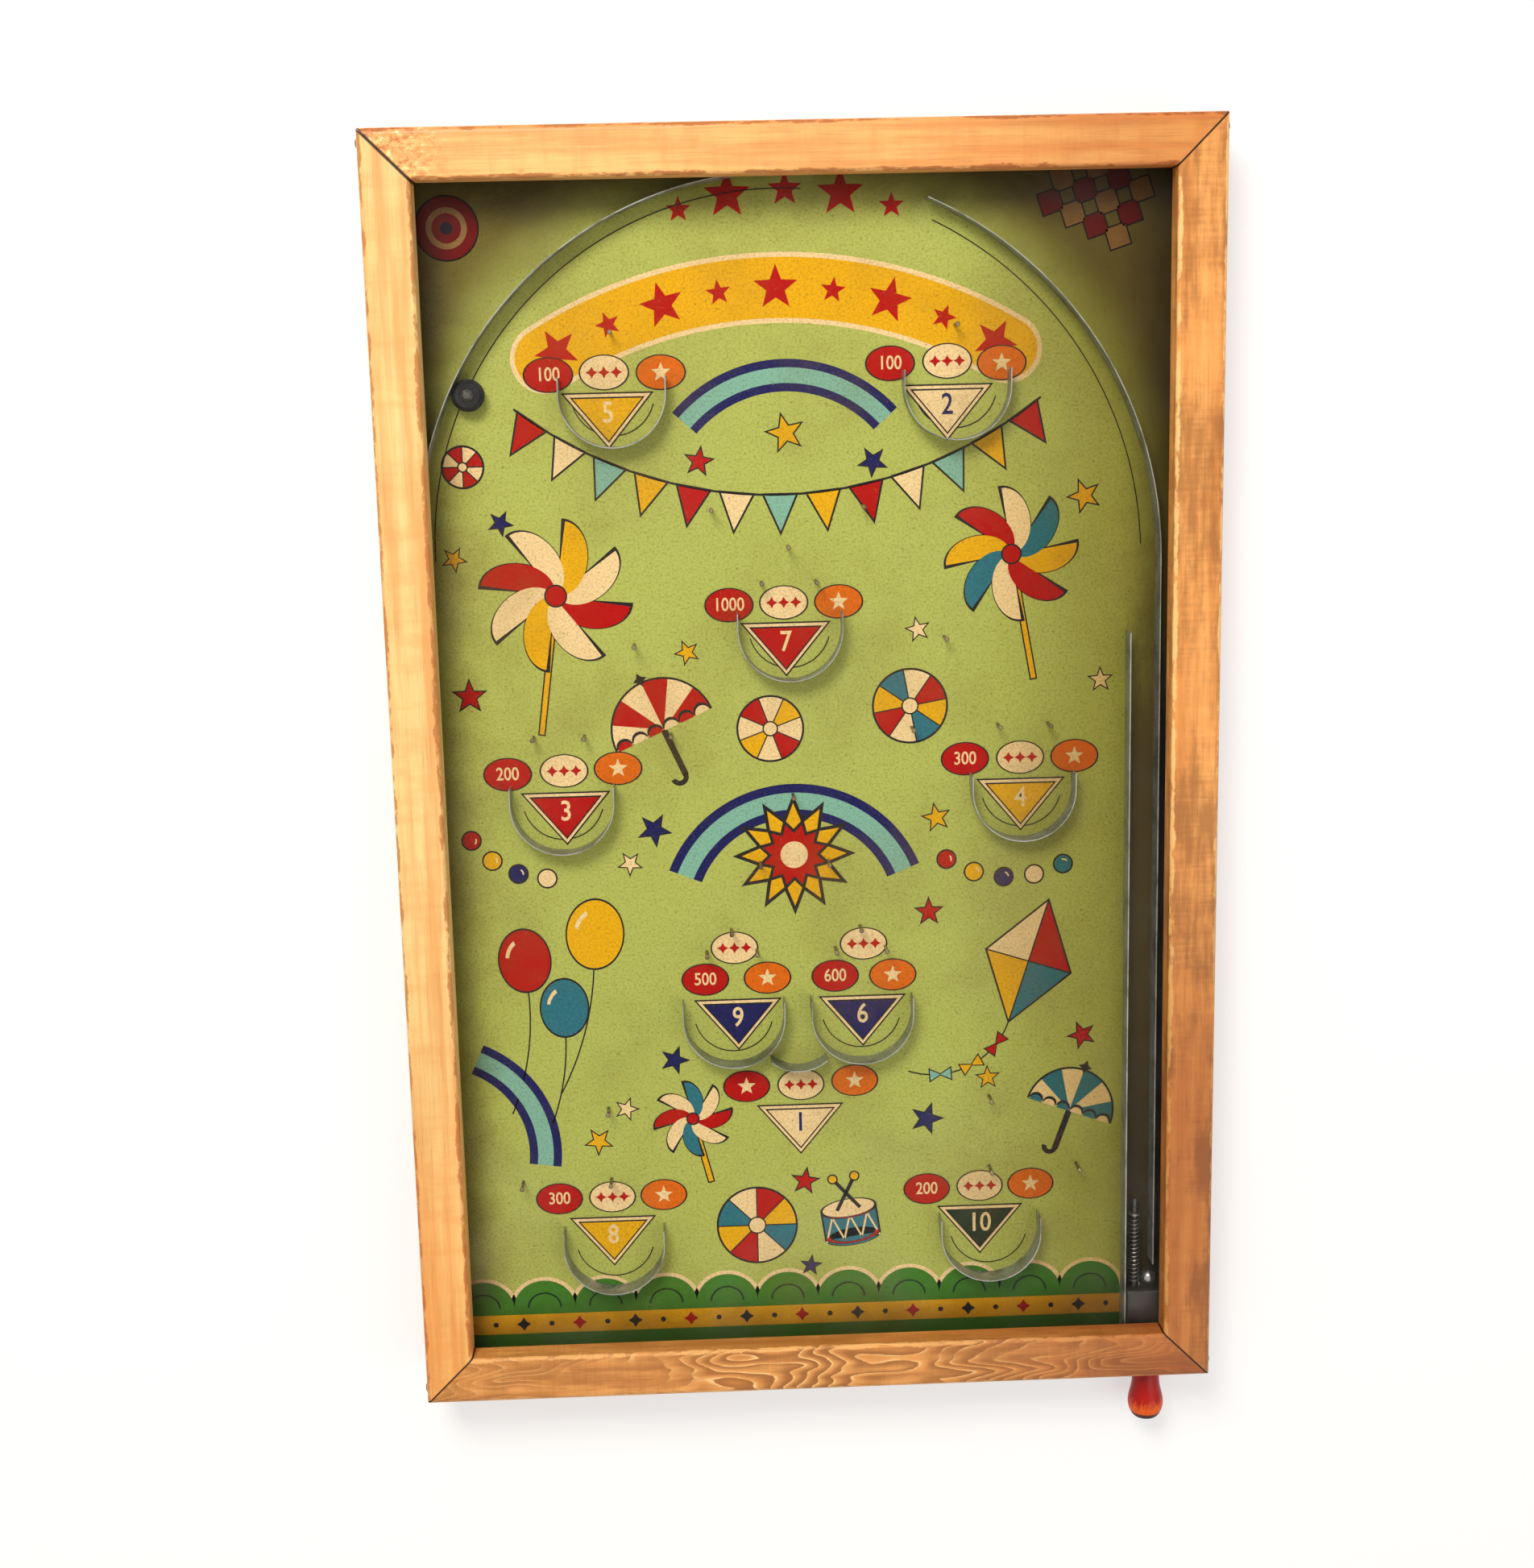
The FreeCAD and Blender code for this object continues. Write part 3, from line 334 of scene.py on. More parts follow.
def makeRailWood(name, look):
    material, tree, shader = newMaterial(name + "_wood", {
        "Coat Weight": 0.06, "Coat Roughness": 0.3, "Specular IOR Level": 0.35})
    place = objectPlace(tree)
    x, y, z = split(tree, place)
    sideIn = minus(tree, case["halfWidth"], calc(tree, "ABSOLUTE", x))
    fromMiddle = calc(tree, "ABSOLUTE", minus(tree, y, case["middleY"]))
    endIn = minus(tree, case["halfLength"], fromMiddle)
    upright = name in ("frame_rail_left", "frame_rail_right")
    inward = sideIn if upright else endIn
    along = addNode(tree, "Mapping", {
        "Vector": place, "Rotation": (0, 0, math.pi / 2 if upright else 0.0),
        "Location": (look["shift"], 0, 0)}).outputs[0]
    grain = useGroup(tree, woodGrain, {"Vector": along})
    colour = tone(look["light"])
    for part, low, high, most, share in railWear["grain"]:
        colour = mixColour(tree, band(tree, grain[part], low, high, 0.0, most), colour,
                           tone(look["deep"], share))
    colour = mixColour(tree, times(tree, grain["Flecks"], railWear["flecks"]), colour,
                       tone(look["deep"], railWear["fleckShade"]))
    # brown varnish, streaked across and along
    streaks = noise(tree, along, 1.0, 5.0, 0.6, (0.05, 0.4, 0.4), (12, 0, 0))
    sawn = noise(tree, along, 1.0, 3.0, 0.6, (0.55, 0.05, 0.05), (7, 0, 3))
    broad = noise(tree, along, 0.03, 4.0, 0.6, (0.6, 1.6, 1.6))
    film = plus(tree, times(tree, streaks, railWear["streaks"]),
                plus(tree, times(tree, sawn, railWear["sawn"]),
                     times(tree, broad, railWear["broad"])))
    colour = tint(tree, colour, band(tree, film, 0.42, 0.6, 0.0, look["varnish"]),
                  railWear["varnishTone"])
    front = band(tree, z, case["depth"] - railWear["faceDepth"], case["depth"] - 0.8)
    bare = rim = 0.0
    if "scaleRim" in look:
        colour, bare, rim = wearInScales(tree, look, colour, along, x, grain["Fibres"], front)
    if "crumbled" in look:
        crumbs = noise(tree, along, 0.34, 5.0, 0.72, (0.8, 1.0, 1.0), (44, 3, 0))
        crumbled = band(tree, plus(tree, x, case["halfWidth"]), railWear["crumbLong"],
                        railWear["crumbFull"], 0.0, look["crumbled"])
        for low, high, ink in railWear["crumbs"]:
            spots = times(tree, band(tree, crumbs, low, high), crumbled)
            colour = tint(tree, colour, spots, ink)
    # rubbed corners, and painted shade towards one end
    edgeOut = band(tree, inward, railWear["edgeWide"], 0.6)
    edgeIn = band(tree, inward, case["railFace"] - railWear["edgeWide"], case["railFace"] - 0.8)
    edge = times(tree, calc(tree, "MAXIMUM", edgeOut, edgeIn), front)
    scuff = noise(tree, along, 0.2, 5.0, 0.72, (0.4, 1, 1), (5, 5, 5))
    scuffed = band(tree, plus(tree, times(tree, edge, 0.3), scuff), 0.7, 0.82)
    colour = tint(tree, colour, times(tree, scuffed, 0.75), look["edge"])
    start, full, ink = look["paintedShade"]
    paintedShade = band(tree, y if upright else x, start, full)
    colour = tint(tree, colour, paintedShade, ink, "MULTIPLY")
    # dirt in the mitres, which gape most at the top left, and the wood darker towards the back
    opened = times(tree, band(tree, x, -100.0, -160.0), band(tree, y, 100.0, 200.0))
    seam = minus(tree, calc(tree, "ABSOLUTE", minus(tree, sideIn, endIn)),
                 times(tree, opened, railWear["mitreOpen"]))
    colour = tint(tree, colour, band(tree, seam, railWear["mitreWide"], 0.3, 0.0, 0.9),
                  railWear["mitreDark"])
    towardsBack = band(tree, z, railWear["backFrom"], railWear["backFull"], 0.0, railWear["backDarkening"])
    colour = mixColour(tree, towardsBack, colour, tone(look["deep"], 0.5))
    dull = calc(tree, "MAXIMUM", scuffed, bare)
    fill(tree, shader, {"Base Color": colour, "Roughness": band(tree, dull, 0.0, 1.0, 0.4, 0.68)})
    height = plus(tree, times(tree, grain["Fibres"], -0.5),
                  plus(tree, times(tree, bare, -0.5), rim))
    bump(tree, shader, height, 0.3, 0.6)
    return material


for railName, railLook in rails.items():
    dress(railName, makeRailWood(railName, railLook))
print("rails finished")


# Printed field: one aged paper look with painted shade, used for the ground and for every ink
# The edge, corner, right, lane and gutter tones below are painted shade; the corner one also stands for
# dirt, the lane one also for wear
paper = {
    "ground": (178, 184, 90), "brown": (118, 92, 40), "board": (122, 92, 58),
    "mottle": (172, 158, 110), "pale": (206, 204, 140), "speck": (92, 76, 40),
    "edge": (146, 122, 74), "railShadeFrom": 14.0, "patch": 70.0, "stained": 0.28,
    "archAt": (-8.2, 125.8), "archReach": 163.0, "cornerShadeAndDirt": (138, 112, 76),
    "rightShadeFrom": 60.0, "rightShadeFull": 152.0, "rightShade": (198, 188, 154),
    "laneLeft": 152.1, "laneTop": 74.0, "laneShadeAndWear": (68, 54, 20), "laneFootShade": (44, 34, 16),
    "gutterLeft": 165.8, "gutterShade": (20, 13, 6),
}


def makeAgedShadedGroup():
    tree, given, result = newGroup(
        "agedPrintAndShade", [("Color", "Color", (1, 1, 1, 1)), ("Vector", "Vector", (0, 0, 0))],
        [("Color", "Color"), ("Roughness", "Float"), ("Height", "Float")])
    place = given["Vector"]
    x, y = split(tree, place)[:2]
    marks = stainMarks(tree, place, paper["patch"], paper["stained"])
    colour = tint(tree, given["Color"], marks["Mask"], paper["brown"])
    mottle = noise(tree, place, 0.9, 5.0, 0.7)
    mottled = band(tree, mottle, 0.42, 0.7, 0.0, 0.52)
    colour = tint(tree, colour, mottled, paper["mottle"], "MULTIPLY")
    pale = noise(tree, place, 0.7, 4.0, 0.7, (1, 1, 1), (60, 0, 0))
    colour = tint(tree, colour, band(tree, pale, 0.56, 0.8, 0.0, 0.12), paper["pale"])
    dots = addNode(tree, "TexVoronoi", {"Vector": place, "Scale": 0.19, "Randomness": 1.0})
    speck = band(tree, dots.outputs["Distance"], 0.12, 0.04, 0.0, 0.5)
    colour = tint(tree, colour, speck, paper["speck"])
    # painted shade along the rails, painted shade and dirt outside the arches, and painted shade towards the
    # lane
    sideGap = minus(tree, case["halfWidth"] - case["railFace"], calc(tree, "ABSOLUTE", x))
    endGap = minus(tree, case["halfLength"] - case["railFace"],
                   calc(tree, "ABSOLUTE", minus(tree, y, case["middleY"])))
    drift = plus(tree, calc(tree, "MINIMUM", sideGap, endGap),
                 times(tree, noise(tree, place, 0.05, 4.0), -22.0))
    edge = band(tree, drift, paper["railShadeFrom"], -16.0, 0.0, 0.75)
    colour = tint(tree, colour, edge, paper["edge"], "MULTIPLY")
    # painted shade and dirt in the corners outside the arches
    fromX = minus(tree, x, paper["archAt"][0])
    fromY = calc(tree, "MAXIMUM", minus(tree, y, paper["archAt"][1]), 0.0)
    reach = calc(tree, "SQRT", plus(tree, times(tree, fromX, fromX), times(tree, fromY, fromY)))
    cornerShadeAndDirtMask = band(tree, plus(tree, reach, times(tree, mottle, -14.0)),
                  paper["archReach"] - 12.0, paper["archReach"] + 24.0, 0.0, 0.9)
    colour = tint(tree, colour, cornerShadeAndDirtMask, paper["cornerShadeAndDirt"], "MULTIPLY")
    # painted shade towards the right rail
    right = band(tree, x, paper["rightShadeFrom"], paper["rightShadeFull"])
    colour = tint(tree, colour, right, paper["rightShade"], "MULTIPLY")
    # the ball lane and the gutter beside it: painted shade of the deep channel, with some wear
    ragged = times(tree, noise(tree, place, 0.12, 4.0, 0.6, (5.0, 1.0, 1.0)), 60.0)
    along = minus(tree, plus(tree, y, ragged), paper["laneTop"])
    lane = times(tree, band(tree, along, 60.0, -20.0),
                 band(tree, x, paper["laneLeft"] - 0.2, paper["laneLeft"]))
    gutter = band(tree, x, paper["gutterLeft"] - 0.2, paper["gutterLeft"])
    laneFloor = tint(tree, tone(paper["laneShadeAndWear"]), band(tree, along, -60.0, -300.0),
                     paper["laneFootShade"])
    dark = tint(tree, laneFloor, gutter, paper["gutterShade"])
    colour = mixColour(tree, times(tree, lane, 0.95), colour, dark)
    fill(tree, result, {"Color": colour, "Height": mottle,
                        "Roughness": band(tree, mottle, 0.3, 0.7, 0.42, 0.62)})
    return tree


agedPrintAndShade = makeAgedShadedGroup()


def makeField():
    material, tree, shader = newMaterial("printedField", {"Specular IOR Level": 0.12})
    place = objectPlace(tree)
    agedShaded = useGroup(tree, agedPrintAndShade, {"Vector": place, "Color": tone(paper["ground"])})
    back = noise(tree, place, 0.5, 5.0, 0.7)
    board = mixColour(tree, back, tone(paper["board"], 0.75), tone(paper["board"]))
    front = band(tree, split(tree, place)["Z"], case["fieldTop"] - 0.2, case["fieldTop"] - 0.1)
    fill(tree, shader, {"Base Color": mixColour(tree, front, board, agedShaded["Color"]),
                        "Roughness": agedShaded["Roughness"]})
    bump(tree, shader, agedShaded["Height"], 0.12)
    return material


def makeInk():
    material, tree, shader = newMaterial("printedInk", {"Specular IOR Level": 0.08})
    colour = addNode(tree, "VertexColor", layer_name="ink").outputs["Color"]
    agedShaded = useGroup(tree, agedPrintAndShade, {"Vector": objectPlace(tree), "Color": colour})
    fill(tree, shader, {"Base Color": agedShaded["Color"], "Roughness": agedShaded["Roughness"]})
    bump(tree, shader, agedShaded["Height"], 0.12)
    return material


dress("playfield_board", makeField())
printedInk = makeInk()

inks = {
    "red": (182, 4, 0), "cream": (240, 208, 152), "orange": (222, 104, 4),
    "yellow": (232, 172, 6), "navy": (28, 28, 86), "teal": (130, 180, 158),
    "blue": (46, 112, 126), "green": (66, 124, 36), "forest": (22, 46, 32),
    "line": (38, 32, 34),
}
inks = {inkName: tone(seen) for inkName, seen in inks.items()}
layerRise = 0.03   # each layer of ink stands this much over the one below, in millimetres


# A sheet of ink: flat shapes laid on the field, in millimetres from its middle. A place
# on it is a matrix, so that a motif is drawn about its own middle and then put down.
def startSheet():
    mesh = bmesh.new()
    mesh.loops.layers.float_color.new("ink")
    return mesh


def spot(x, y, turn=0.0, wide=1.0, tall=1.0):
    return (Matrix.Translation((x, y, 0)) @ Matrix.Rotation(math.radians(turn), 4, "Z") @
            Matrix.Diagonal((wide, tall, 1.0, 1.0)))


def inkFaces(mesh, faces, ink, layer):
    inkLayer = mesh.loops.layers.float_color["ink"]
    for face in faces:
        face.normal_update()
        if face.normal.z < 0:
            face.normal_flip()
        for loop in face.loops:
            loop[inkLayer] = inks[ink]
            loop.vert.co.z = layer


def inkVerts(mesh, verts, ink, layer):
    faces = {face for vert in verts for face in vert.link_faces}
    inkFaces(mesh, faces, ink, layer)


def printDisc(mesh, at, radius, ink, layer, sides=40):
    made = bmesh.ops.create_circle(mesh, cap_ends=True, segments=sides, radius=radius, matrix=at)
    inkVerts(mesh, made["verts"], ink, layer)


# A triangle that points down, as wide and as tall as it is given
def printPennant(mesh, at, wide, tall, ink, layer):
    size = spot(0, -tall / 3, 180, wide / math.sqrt(3), tall / 1.5)
    printDisc(mesh, at @ size, 1.0, ink, layer, 3)


def printStar(mesh, at, radius, ink, layer, points=5, waist=0.42):
    made = bmesh.ops.create_circle(mesh, cap_ends=True, segments=points * 2, radius=radius)
    for index, vert in enumerate(made["verts"]):
        if index % 2:
            vert.co *= waist
    bmesh.ops.transform(mesh, matrix=at, verts=made["verts"])
    inkVerts(mesh, made["verts"], ink, layer)


def printBar(mesh, at, wide, tall, ink, layer):
    made = bmesh.ops.create_grid(mesh, x_segments=1, y_segments=1, size=0.5,
                                 matrix=at @ Matrix.Diagonal((wide, tall, 1.0, 1.0)))
    inkVerts(mesh, made["verts"], ink, layer)


# Part of a ring, from one angle to another: an edge spun about the middle
def printArc(mesh, at, inner, outer, low, high, ink, layer, steps=24):
    ends = [mesh.verts.new((reach, 0, 0)) for reach in (inner, outer)]
    edge = mesh.edges.new(ends)
    bmesh.ops.rotate(mesh, verts=ends, cent=(0, 0, 0),
                     matrix=Matrix.Rotation(math.radians(low), 3, "Z"))
    before = set(mesh.verts)
    bmesh.ops.spin(mesh, geom=[edge], cent=(0, 0, 0), axis=(0, 0, 1), steps=steps,
                   angle=math.radians(high - low))
    verts = ends + [vert for vert in mesh.verts if vert not in before]
    bmesh.ops.transform(mesh, matrix=at, verts=verts)
    inkVerts(mesh, verts, ink, layer)


def printWedge(mesh, at, radius, low, high, ink, layer):
    printArc(mesh, at, 0.01, radius, low, high, ink, layer, max(2, round((high - low) / 8)))


def printNumber(mesh, words, at, size, ink, layer):
    text = bpy.data.curves.new("number", "FONT")
    text.body = words
    text.size = size
    text.offset = 0.012 * size
    text.align_x = "CENTER"
    text.align_y = "CENTER"
    holder = addObject("number", text)
    bpy.context.view_layer.update()
    flat = bpy.data.meshes.new_from_object(holder)
    before = set(mesh.verts)
    mesh.from_mesh(flat)
    verts = [vert for vert in mesh.verts if vert not in before]
    bmesh.ops.transform(mesh, matrix=at @ spot(0, 0, 0, 0.84, 1.0), verts=verts)
    inkVerts(mesh, verts, ink, layer)
    bpy.data.objects.remove(holder)
    bpy.data.curves.remove(text)
    bpy.data.meshes.remove(flat)


def finishSheet(mesh, name):
    for vert in mesh.verts:
        vert.co.z = case["fieldTop"] + layerRise * vert.co.z
    bmesh.ops.translate(mesh, verts=mesh.verts, vec=(case["fieldMiddleX"], case["middleY"], 0))
    bmesh.ops.scale(mesh, verts=mesh.verts, vec=(mm, mm, mm))
    piece = meshObject(mesh, name, printedInk)
    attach(piece, "cabinet")


# Scoring marks round each cup: three ovals, and a triangle with the cup's number
ovals = {"width": 23.0, "height": 16.0, "line": 0.75, "number": 8.6, "star": 4.6,
         "smallStar": 2.7, "smallStarsAt": (-5.6, 0.0, 5.6)}
triangles = {"width": 42.4, "height": 25.6, "line": 0.75, "rim": 2.1, "number": 13.5}
# middles of the red, the cream and the orange oval and of the triangle's top, the
# triangle's ink, the points in the red oval (a star where there are none), the number
cupMarks = [
    ((-107.3, 190.5), (-81.9, 191.1), (-56.1, 190.6), (-80.8, 182.2), "yellow", "100", "5"),
    ((48.5, 192.2), (74.7, 192.7), (99.7, 191.4), (74.6, 182.4), "cream", "100", "2"),
    ((-27.9, 83.7), (-2.4, 84.3), (23.2, 84.1), (-1.8, 75.2), "red", "1000", "7"),
    ((-134.0, 6.7), (-107.5, 7.7), (-82.1, 8.2), (-107.3, -2.4), "red", "200", "3"),
    ((81.8, 8.0), (108.0, 8.0), (133.8, 8.0), (108.2, -1.9), "yellow", "300", "4"),
    ((-44.0, -96.1), (-29.6, -80.8), (-14.1, -96.1), (-28.7, -106.2), "navy", "500", "9"),
    ((18.5, -96.2), (32.4, -80.6), (46.3, -96.5), (31.4, -106.2), "navy", "600", "6"),
    ((-25.5, -150.4), (0.9, -150.3), (27.1, -149.1), (0.3, -160.2), "cream", "", "1"),
    ((-118.4, -204.7), (-92.5, -204.6), (-67.4, -204.4), (-92.7, -214.8), "yellow", "300", "8"),
    ((61.7, -206.1), (87.8, -205.4), (112.9, -205.1), (87.8, -215.2), "forest", "200", "10"),
]


def printOval(mesh, at, ink):
    squash = at @ spot(0, 0, 0, 1.0, ovals["height"] / ovals["width"])
    half = ovals["width"] / 2
    printDisc(mesh, squash, half, "line", 9)
    printDisc(mesh, squash, half - ovals["line"], ink, 10)


def printTriangle(mesh, at, ink, number):
    wide, tall, line = (triangles["width"], triangles["height"], triangles["line"])
    steps = [("line", 0.0), ("cream", line), ("line", triangles["rim"]),
             (ink, triangles["rim"] + line)]
    for step, (stepInk, inset) in enumerate(steps):
        share = 1 - inset * (1 / tall + 2.2 / wide)
        printPennant(mesh, at @ spot(0, -inset * 0.98), wide * share, tall * share, stepInk,
                     9 + step)
    dark = "navy" if ink == "cream" else "cream"
    printNumber(mesh, number, at @ spot(0, -tall * 0.37), triangles["number"], dark, 13)


def printCupMarks():
    mesh = startSheet()
    for red, cream, orange, top, ink, points, number in cupMarks:
        for place, ovalInk in ((red, "red"), (cream, "cream"), (orange, "orange")):
            printOval(mesh, spot(*place), ovalInk)
        for across in ovals["smallStarsAt"]:
            printStar(mesh, spot(*cream) @ spot(across, 0), ovals["smallStar"], "red", 11, 4, 0.5)
        printStar(mesh, spot(*orange), ovals["star"], "cream", 11)
        if points:
            printNumber(mesh, points, spot(*red), ovals["number"], "cream", 11)
        else:
            printStar(mesh, spot(*red), ovals["star"], "cream", 11)
        printTriangle(mesh, spot(*top), ink, number)
    finishSheet(mesh, "scorePrint")


# Guide lines printed inside each cup and inside the arches
guides = {
    "cupReach": 19.3, "line": 0.5,
    "arches": [{"at": (-2.0, 110.1), "reach": 160.6, "from": 86, "to": 181},
               {"at": (-6.8, 101.3), "reach": 171.5, "from": 2, "to": 64}],
}


def printGuides():
    mesh = startSheet()
    for name in nodes:
        if name.startswith("cup_"):
            low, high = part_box(name)
            x = (low[0] + high[0]) / 2 / mm - case["fieldMiddleX"]
            y = high[1] / mm - case["middleY"] - 7.5   # the arms end 7.5 above the cup's middle
            reach = guides["cupReach"]
            printArc(mesh, spot(x, y), reach - guides["line"], reach, 195, 345, "line", 8, 28)
    for arch in guides["arches"]:
        printArc(mesh, spot(*arch["at"]), arch["reach"] - guides["line"], arch["reach"],
                 arch["from"], arch["to"], "line", 8, 60)
    finishSheet(mesh, "guidePrint")


printCupMarks()
printGuides()
print("scoring marks printed")


# Fairground pattern: each motif is drawn about its own middle
def outlinedStar(mesh, at, radius, ink, layer, points=5, waist=0.42):
    printStar(mesh, at, radius * 1.14 + 0.9, "line", layer, points, waist)
    printStar(mesh, at, radius, ink, layer + 1, points, waist)


def printPinwheel(mesh, at, reach, stick, colours):
    printBar(mesh, at @ spot(0, -stick / 2), 3.6, stick, "line", 1)
    printBar(mesh, at @ spot(0, -stick / 2), 2.2, stick - 1.4, "yellow", 2)
    half, blades = (reach / 2, 8)
    for index in range(blades):
        blade = at @ spot(0, 0, index * 360 / blades) @ spot(half, 0, 0, 1.0, 0.72)
        printWedge(mesh, blade, half + 1.0, 176, 364, "line", 3)
    for index in range(blades):
        blade = at @ spot(0, 0, index * 360 / blades) @ spot(half, -0.5, 0, 1.0, 0.72)
        ink = colours[index % len(colours)]
        printWedge(mesh, blade, half - 0.2, 182, 358, ink, 4 + index * 0.3)
    printDisc(mesh, at, reach * 0.13 + 0.8, "line", 7)
    printDisc(mesh, at, reach * 0.13, "red", 7.6)


def printBunting(mesh, at, reach, low, high, count):
    printArc(mesh, at, reach - 0.5, reach + 0.5, low, high, "line", 3, 60)
    for index in range(count):
        angle = low + (high - low) * (index + 0.5) / count
        hang = at @ spot(0, 0, angle + 90) @ spot(0, -reach)
        ink = ("red", "cream", "teal", "yellow")[index % 4]
        printPennant(mesh, hang @ spot(0, 0.8), 17.4, 19.8, "line", 2)
        printPennant(mesh, hang @ spot(0, 0.0), 14.6, 16.8, ink, 3)


def printBalloon(mesh, at, size, ink, string, bow):
    tail = math.degrees(string / bow)
    printArc(mesh, at @ spot(-bow, -size * 1.15), bow - 0.35, bow + 0.35, -tail, 0, "line", 1, 20)
    printPennant(mesh, at @ spot(0, -size * 1.02, 180), size * 0.42, size * 0.3, "line", 3)
    oval = at @ spot(0, 0, 0, 0.86, 1.08)
    printDisc(mesh, oval, size + 0.9, "line", 3)
    printDisc(mesh, oval, size, ink, 4)
    printArc(mesh, oval, size * 0.62, size * 0.76, 118, 168, "cream", 5, 8)


def printKite(mesh, at, wide, tall):
    printDisc(mesh, at @ spot(0, 0, 0, wide / 2 + 1.2, tall / 2 + 1.5), 1.0, "line", 3, 4)
    for index, ink in enumerate(("red", "cream", "yellow", "blue")):
        low = index * 90
        printArc(mesh, at @ spot(0, 0, 0, wide / 2, tall / 2), 0.01, 1.0, low, low + 90, ink, 4, 1)
    printBar(mesh, at, 0.7, tall, "line", 5)
    printBar(mesh, at, wide, 0.7, "line", 5)
    bow, reach = (at @ spot(-38, -tall / 2), 38)
    printArc(mesh, bow, reach - 0.35, reach + 0.35, -92, 0, "line", 2, 24)
    for angle, ink in ((-20, "red"), (-44, "yellow"), (-68, "teal")):
        for turn in (0, 180):
            half = bow @ spot(0, 0, angle) @ spot(reach, 0) @ spot(0, 0, turn)
            printPennant(mesh, half @ spot(0, -5.6, 180), 7.4, 6.6, "line", 3)
            printPennant(mesh, half @ spot(0, -5.0, 180), 5.4, 5.0, ink, 4)


def printParasol(mesh, at, reach, colours):
    printBar(mesh, at @ spot(0, -reach * 0.42), 3.0, reach * 1.15, "line", 2)
    printArc(mesh, at @ spot(-reach * 0.13, -reach * 0.98), reach * 0.13 - 1.2,
             reach * 0.13 + 1.2, 180, 360, "line", 2, 12)
    printWedge(mesh, at, reach + 1.0, -1, 181, "line", 3)
    count = 6
    for index in range(count):
        ink = colours[index % 2]
        low, high = (180 * index / count, 180 * (index + 1) / count)
        printWedge(mesh, at, reach, low, high, ink, 4)
        across = reach * (2 * (index + 0.5) / count - 1)
        printWedge(mesh, at @ spot(across, 0.4), reach / count, 0, 180, "line", 5)
        printWedge(mesh, at @ spot(across, -0.6), reach / count - 0.5, 0, 180, ink, 5.5)
    printStar(mesh, at @ spot(0, reach + 2), 3.4, "line", 5, 4, 0.5)


def printStripedBall(mesh, at, radius, colours):
    printDisc(mesh, at, radius + 1.0, "line", 2, 56)
    for index in range(8):
        low = index * 45
        printWedge(mesh, at, radius, low, low + 45, colours[index % len(colours)], 3)
    for index in range(8):
        printBar(mesh, at @ spot(0, 0, index * 45) @ spot(radius / 2, 0), radius, 0.6, "line", 4)
    printDisc(mesh, at, radius * 0.2 + 0.7, "line", 5)
    printDisc(mesh, at, radius * 0.2, "cream", 6)


# Two half rings, one inside the other
def printHoops(mesh, at, reach, wide, low, high):
    printArc(mesh, at, reach - wide / 2 - 0.8, reach + wide / 2 + 0.8, low, high, "navy", 1, 48)
    printArc(mesh, at, reach - wide * 0.27, reach + wide * 0.27, low, high, "teal", 2, 48)


# A row of juggling balls on an arc
def printJuggle(mesh, at, reach, low, high, count):
    for index in range(count):
        angle = low + (high - low) * index / (count - 1)
        ball = at @ spot(0, 0, angle) @ spot(reach, 0)
        ink = ("red", "yellow", "navy", "cream", "blue")[index % 5]
        printDisc(mesh, ball, 4.9, "line", 2, 28)
        printDisc(mesh, ball, 4.1, ink, 3, 28)
        printArc(mesh, ball, 1.9, 2.6, 100, 170, "cream", 4, 6)


# A drum: its side between two hoops, laced in zigzag
def printDrum(mesh, at, wide, tall, flat=0.34):
    for ink, grow, layer in (("line", 1.0, 2), ("blue", 0.0, 3)):
        printBar(mesh, at, wide + 2 * grow, tall, ink, layer)
        printDisc(mesh, at @ spot(0, -tall / 2, 0, 1.0, flat), wide / 2 + grow, ink, layer)
    laces = 6
    for index in range(laces):
        across = wide * ((index + 0.5) / laces - 0.5)
        lean = 20 if index % 2 else -20
        printBar(mesh, at @ spot(across, -tall * 0.16, lean), 0.9, tall * 0.92, "cream", 4)
    for lift in (-tall * 0.42, tall * 0.46):
        hoop = at @ spot(0, lift, 0, 1.0, flat)
        printArc(mesh, hoop, wide / 2 - 2.4, wide / 2 + 1.0, 180, 360, "line", 5, 24)
        printArc(mesh, hoop, wide / 2 - 1.8, wide / 2 + 0.2, 180, 360, "red", 6, 24)
    head = at @ spot(0, tall * 0.5, 0, 1.0, flat)
    printDisc(mesh, head, wide / 2 + 1.0, "line", 7)
    printDisc(mesh, head, wide / 2 - 0.2, "cream", 8)
    for lean in (-34, 34):
        stick = at @ spot(lean * 0.12, tall * 0.62, lean)
        printBar(mesh, stick @ spot(0, 7), 1.8, 20, "line", 8.5)
        printDisc(mesh, stick @ spot(0, 17), 2.6, "line", 8.5, 20)
        printDisc(mesh, stick @ spot(0, 17), 1.9, "yellow", 8.8, 20)


def printBurst(mesh, at, reach):
    outlinedStar(mesh, at, reach, "yellow", 3, 12, 0.62)
    outlinedStar(mesh, at @ spot(0, 0, 15), reach * 0.6, "red", 5, 12, 0.7)
    printDisc(mesh, at, reach * 0.26, "cream", 7.4)


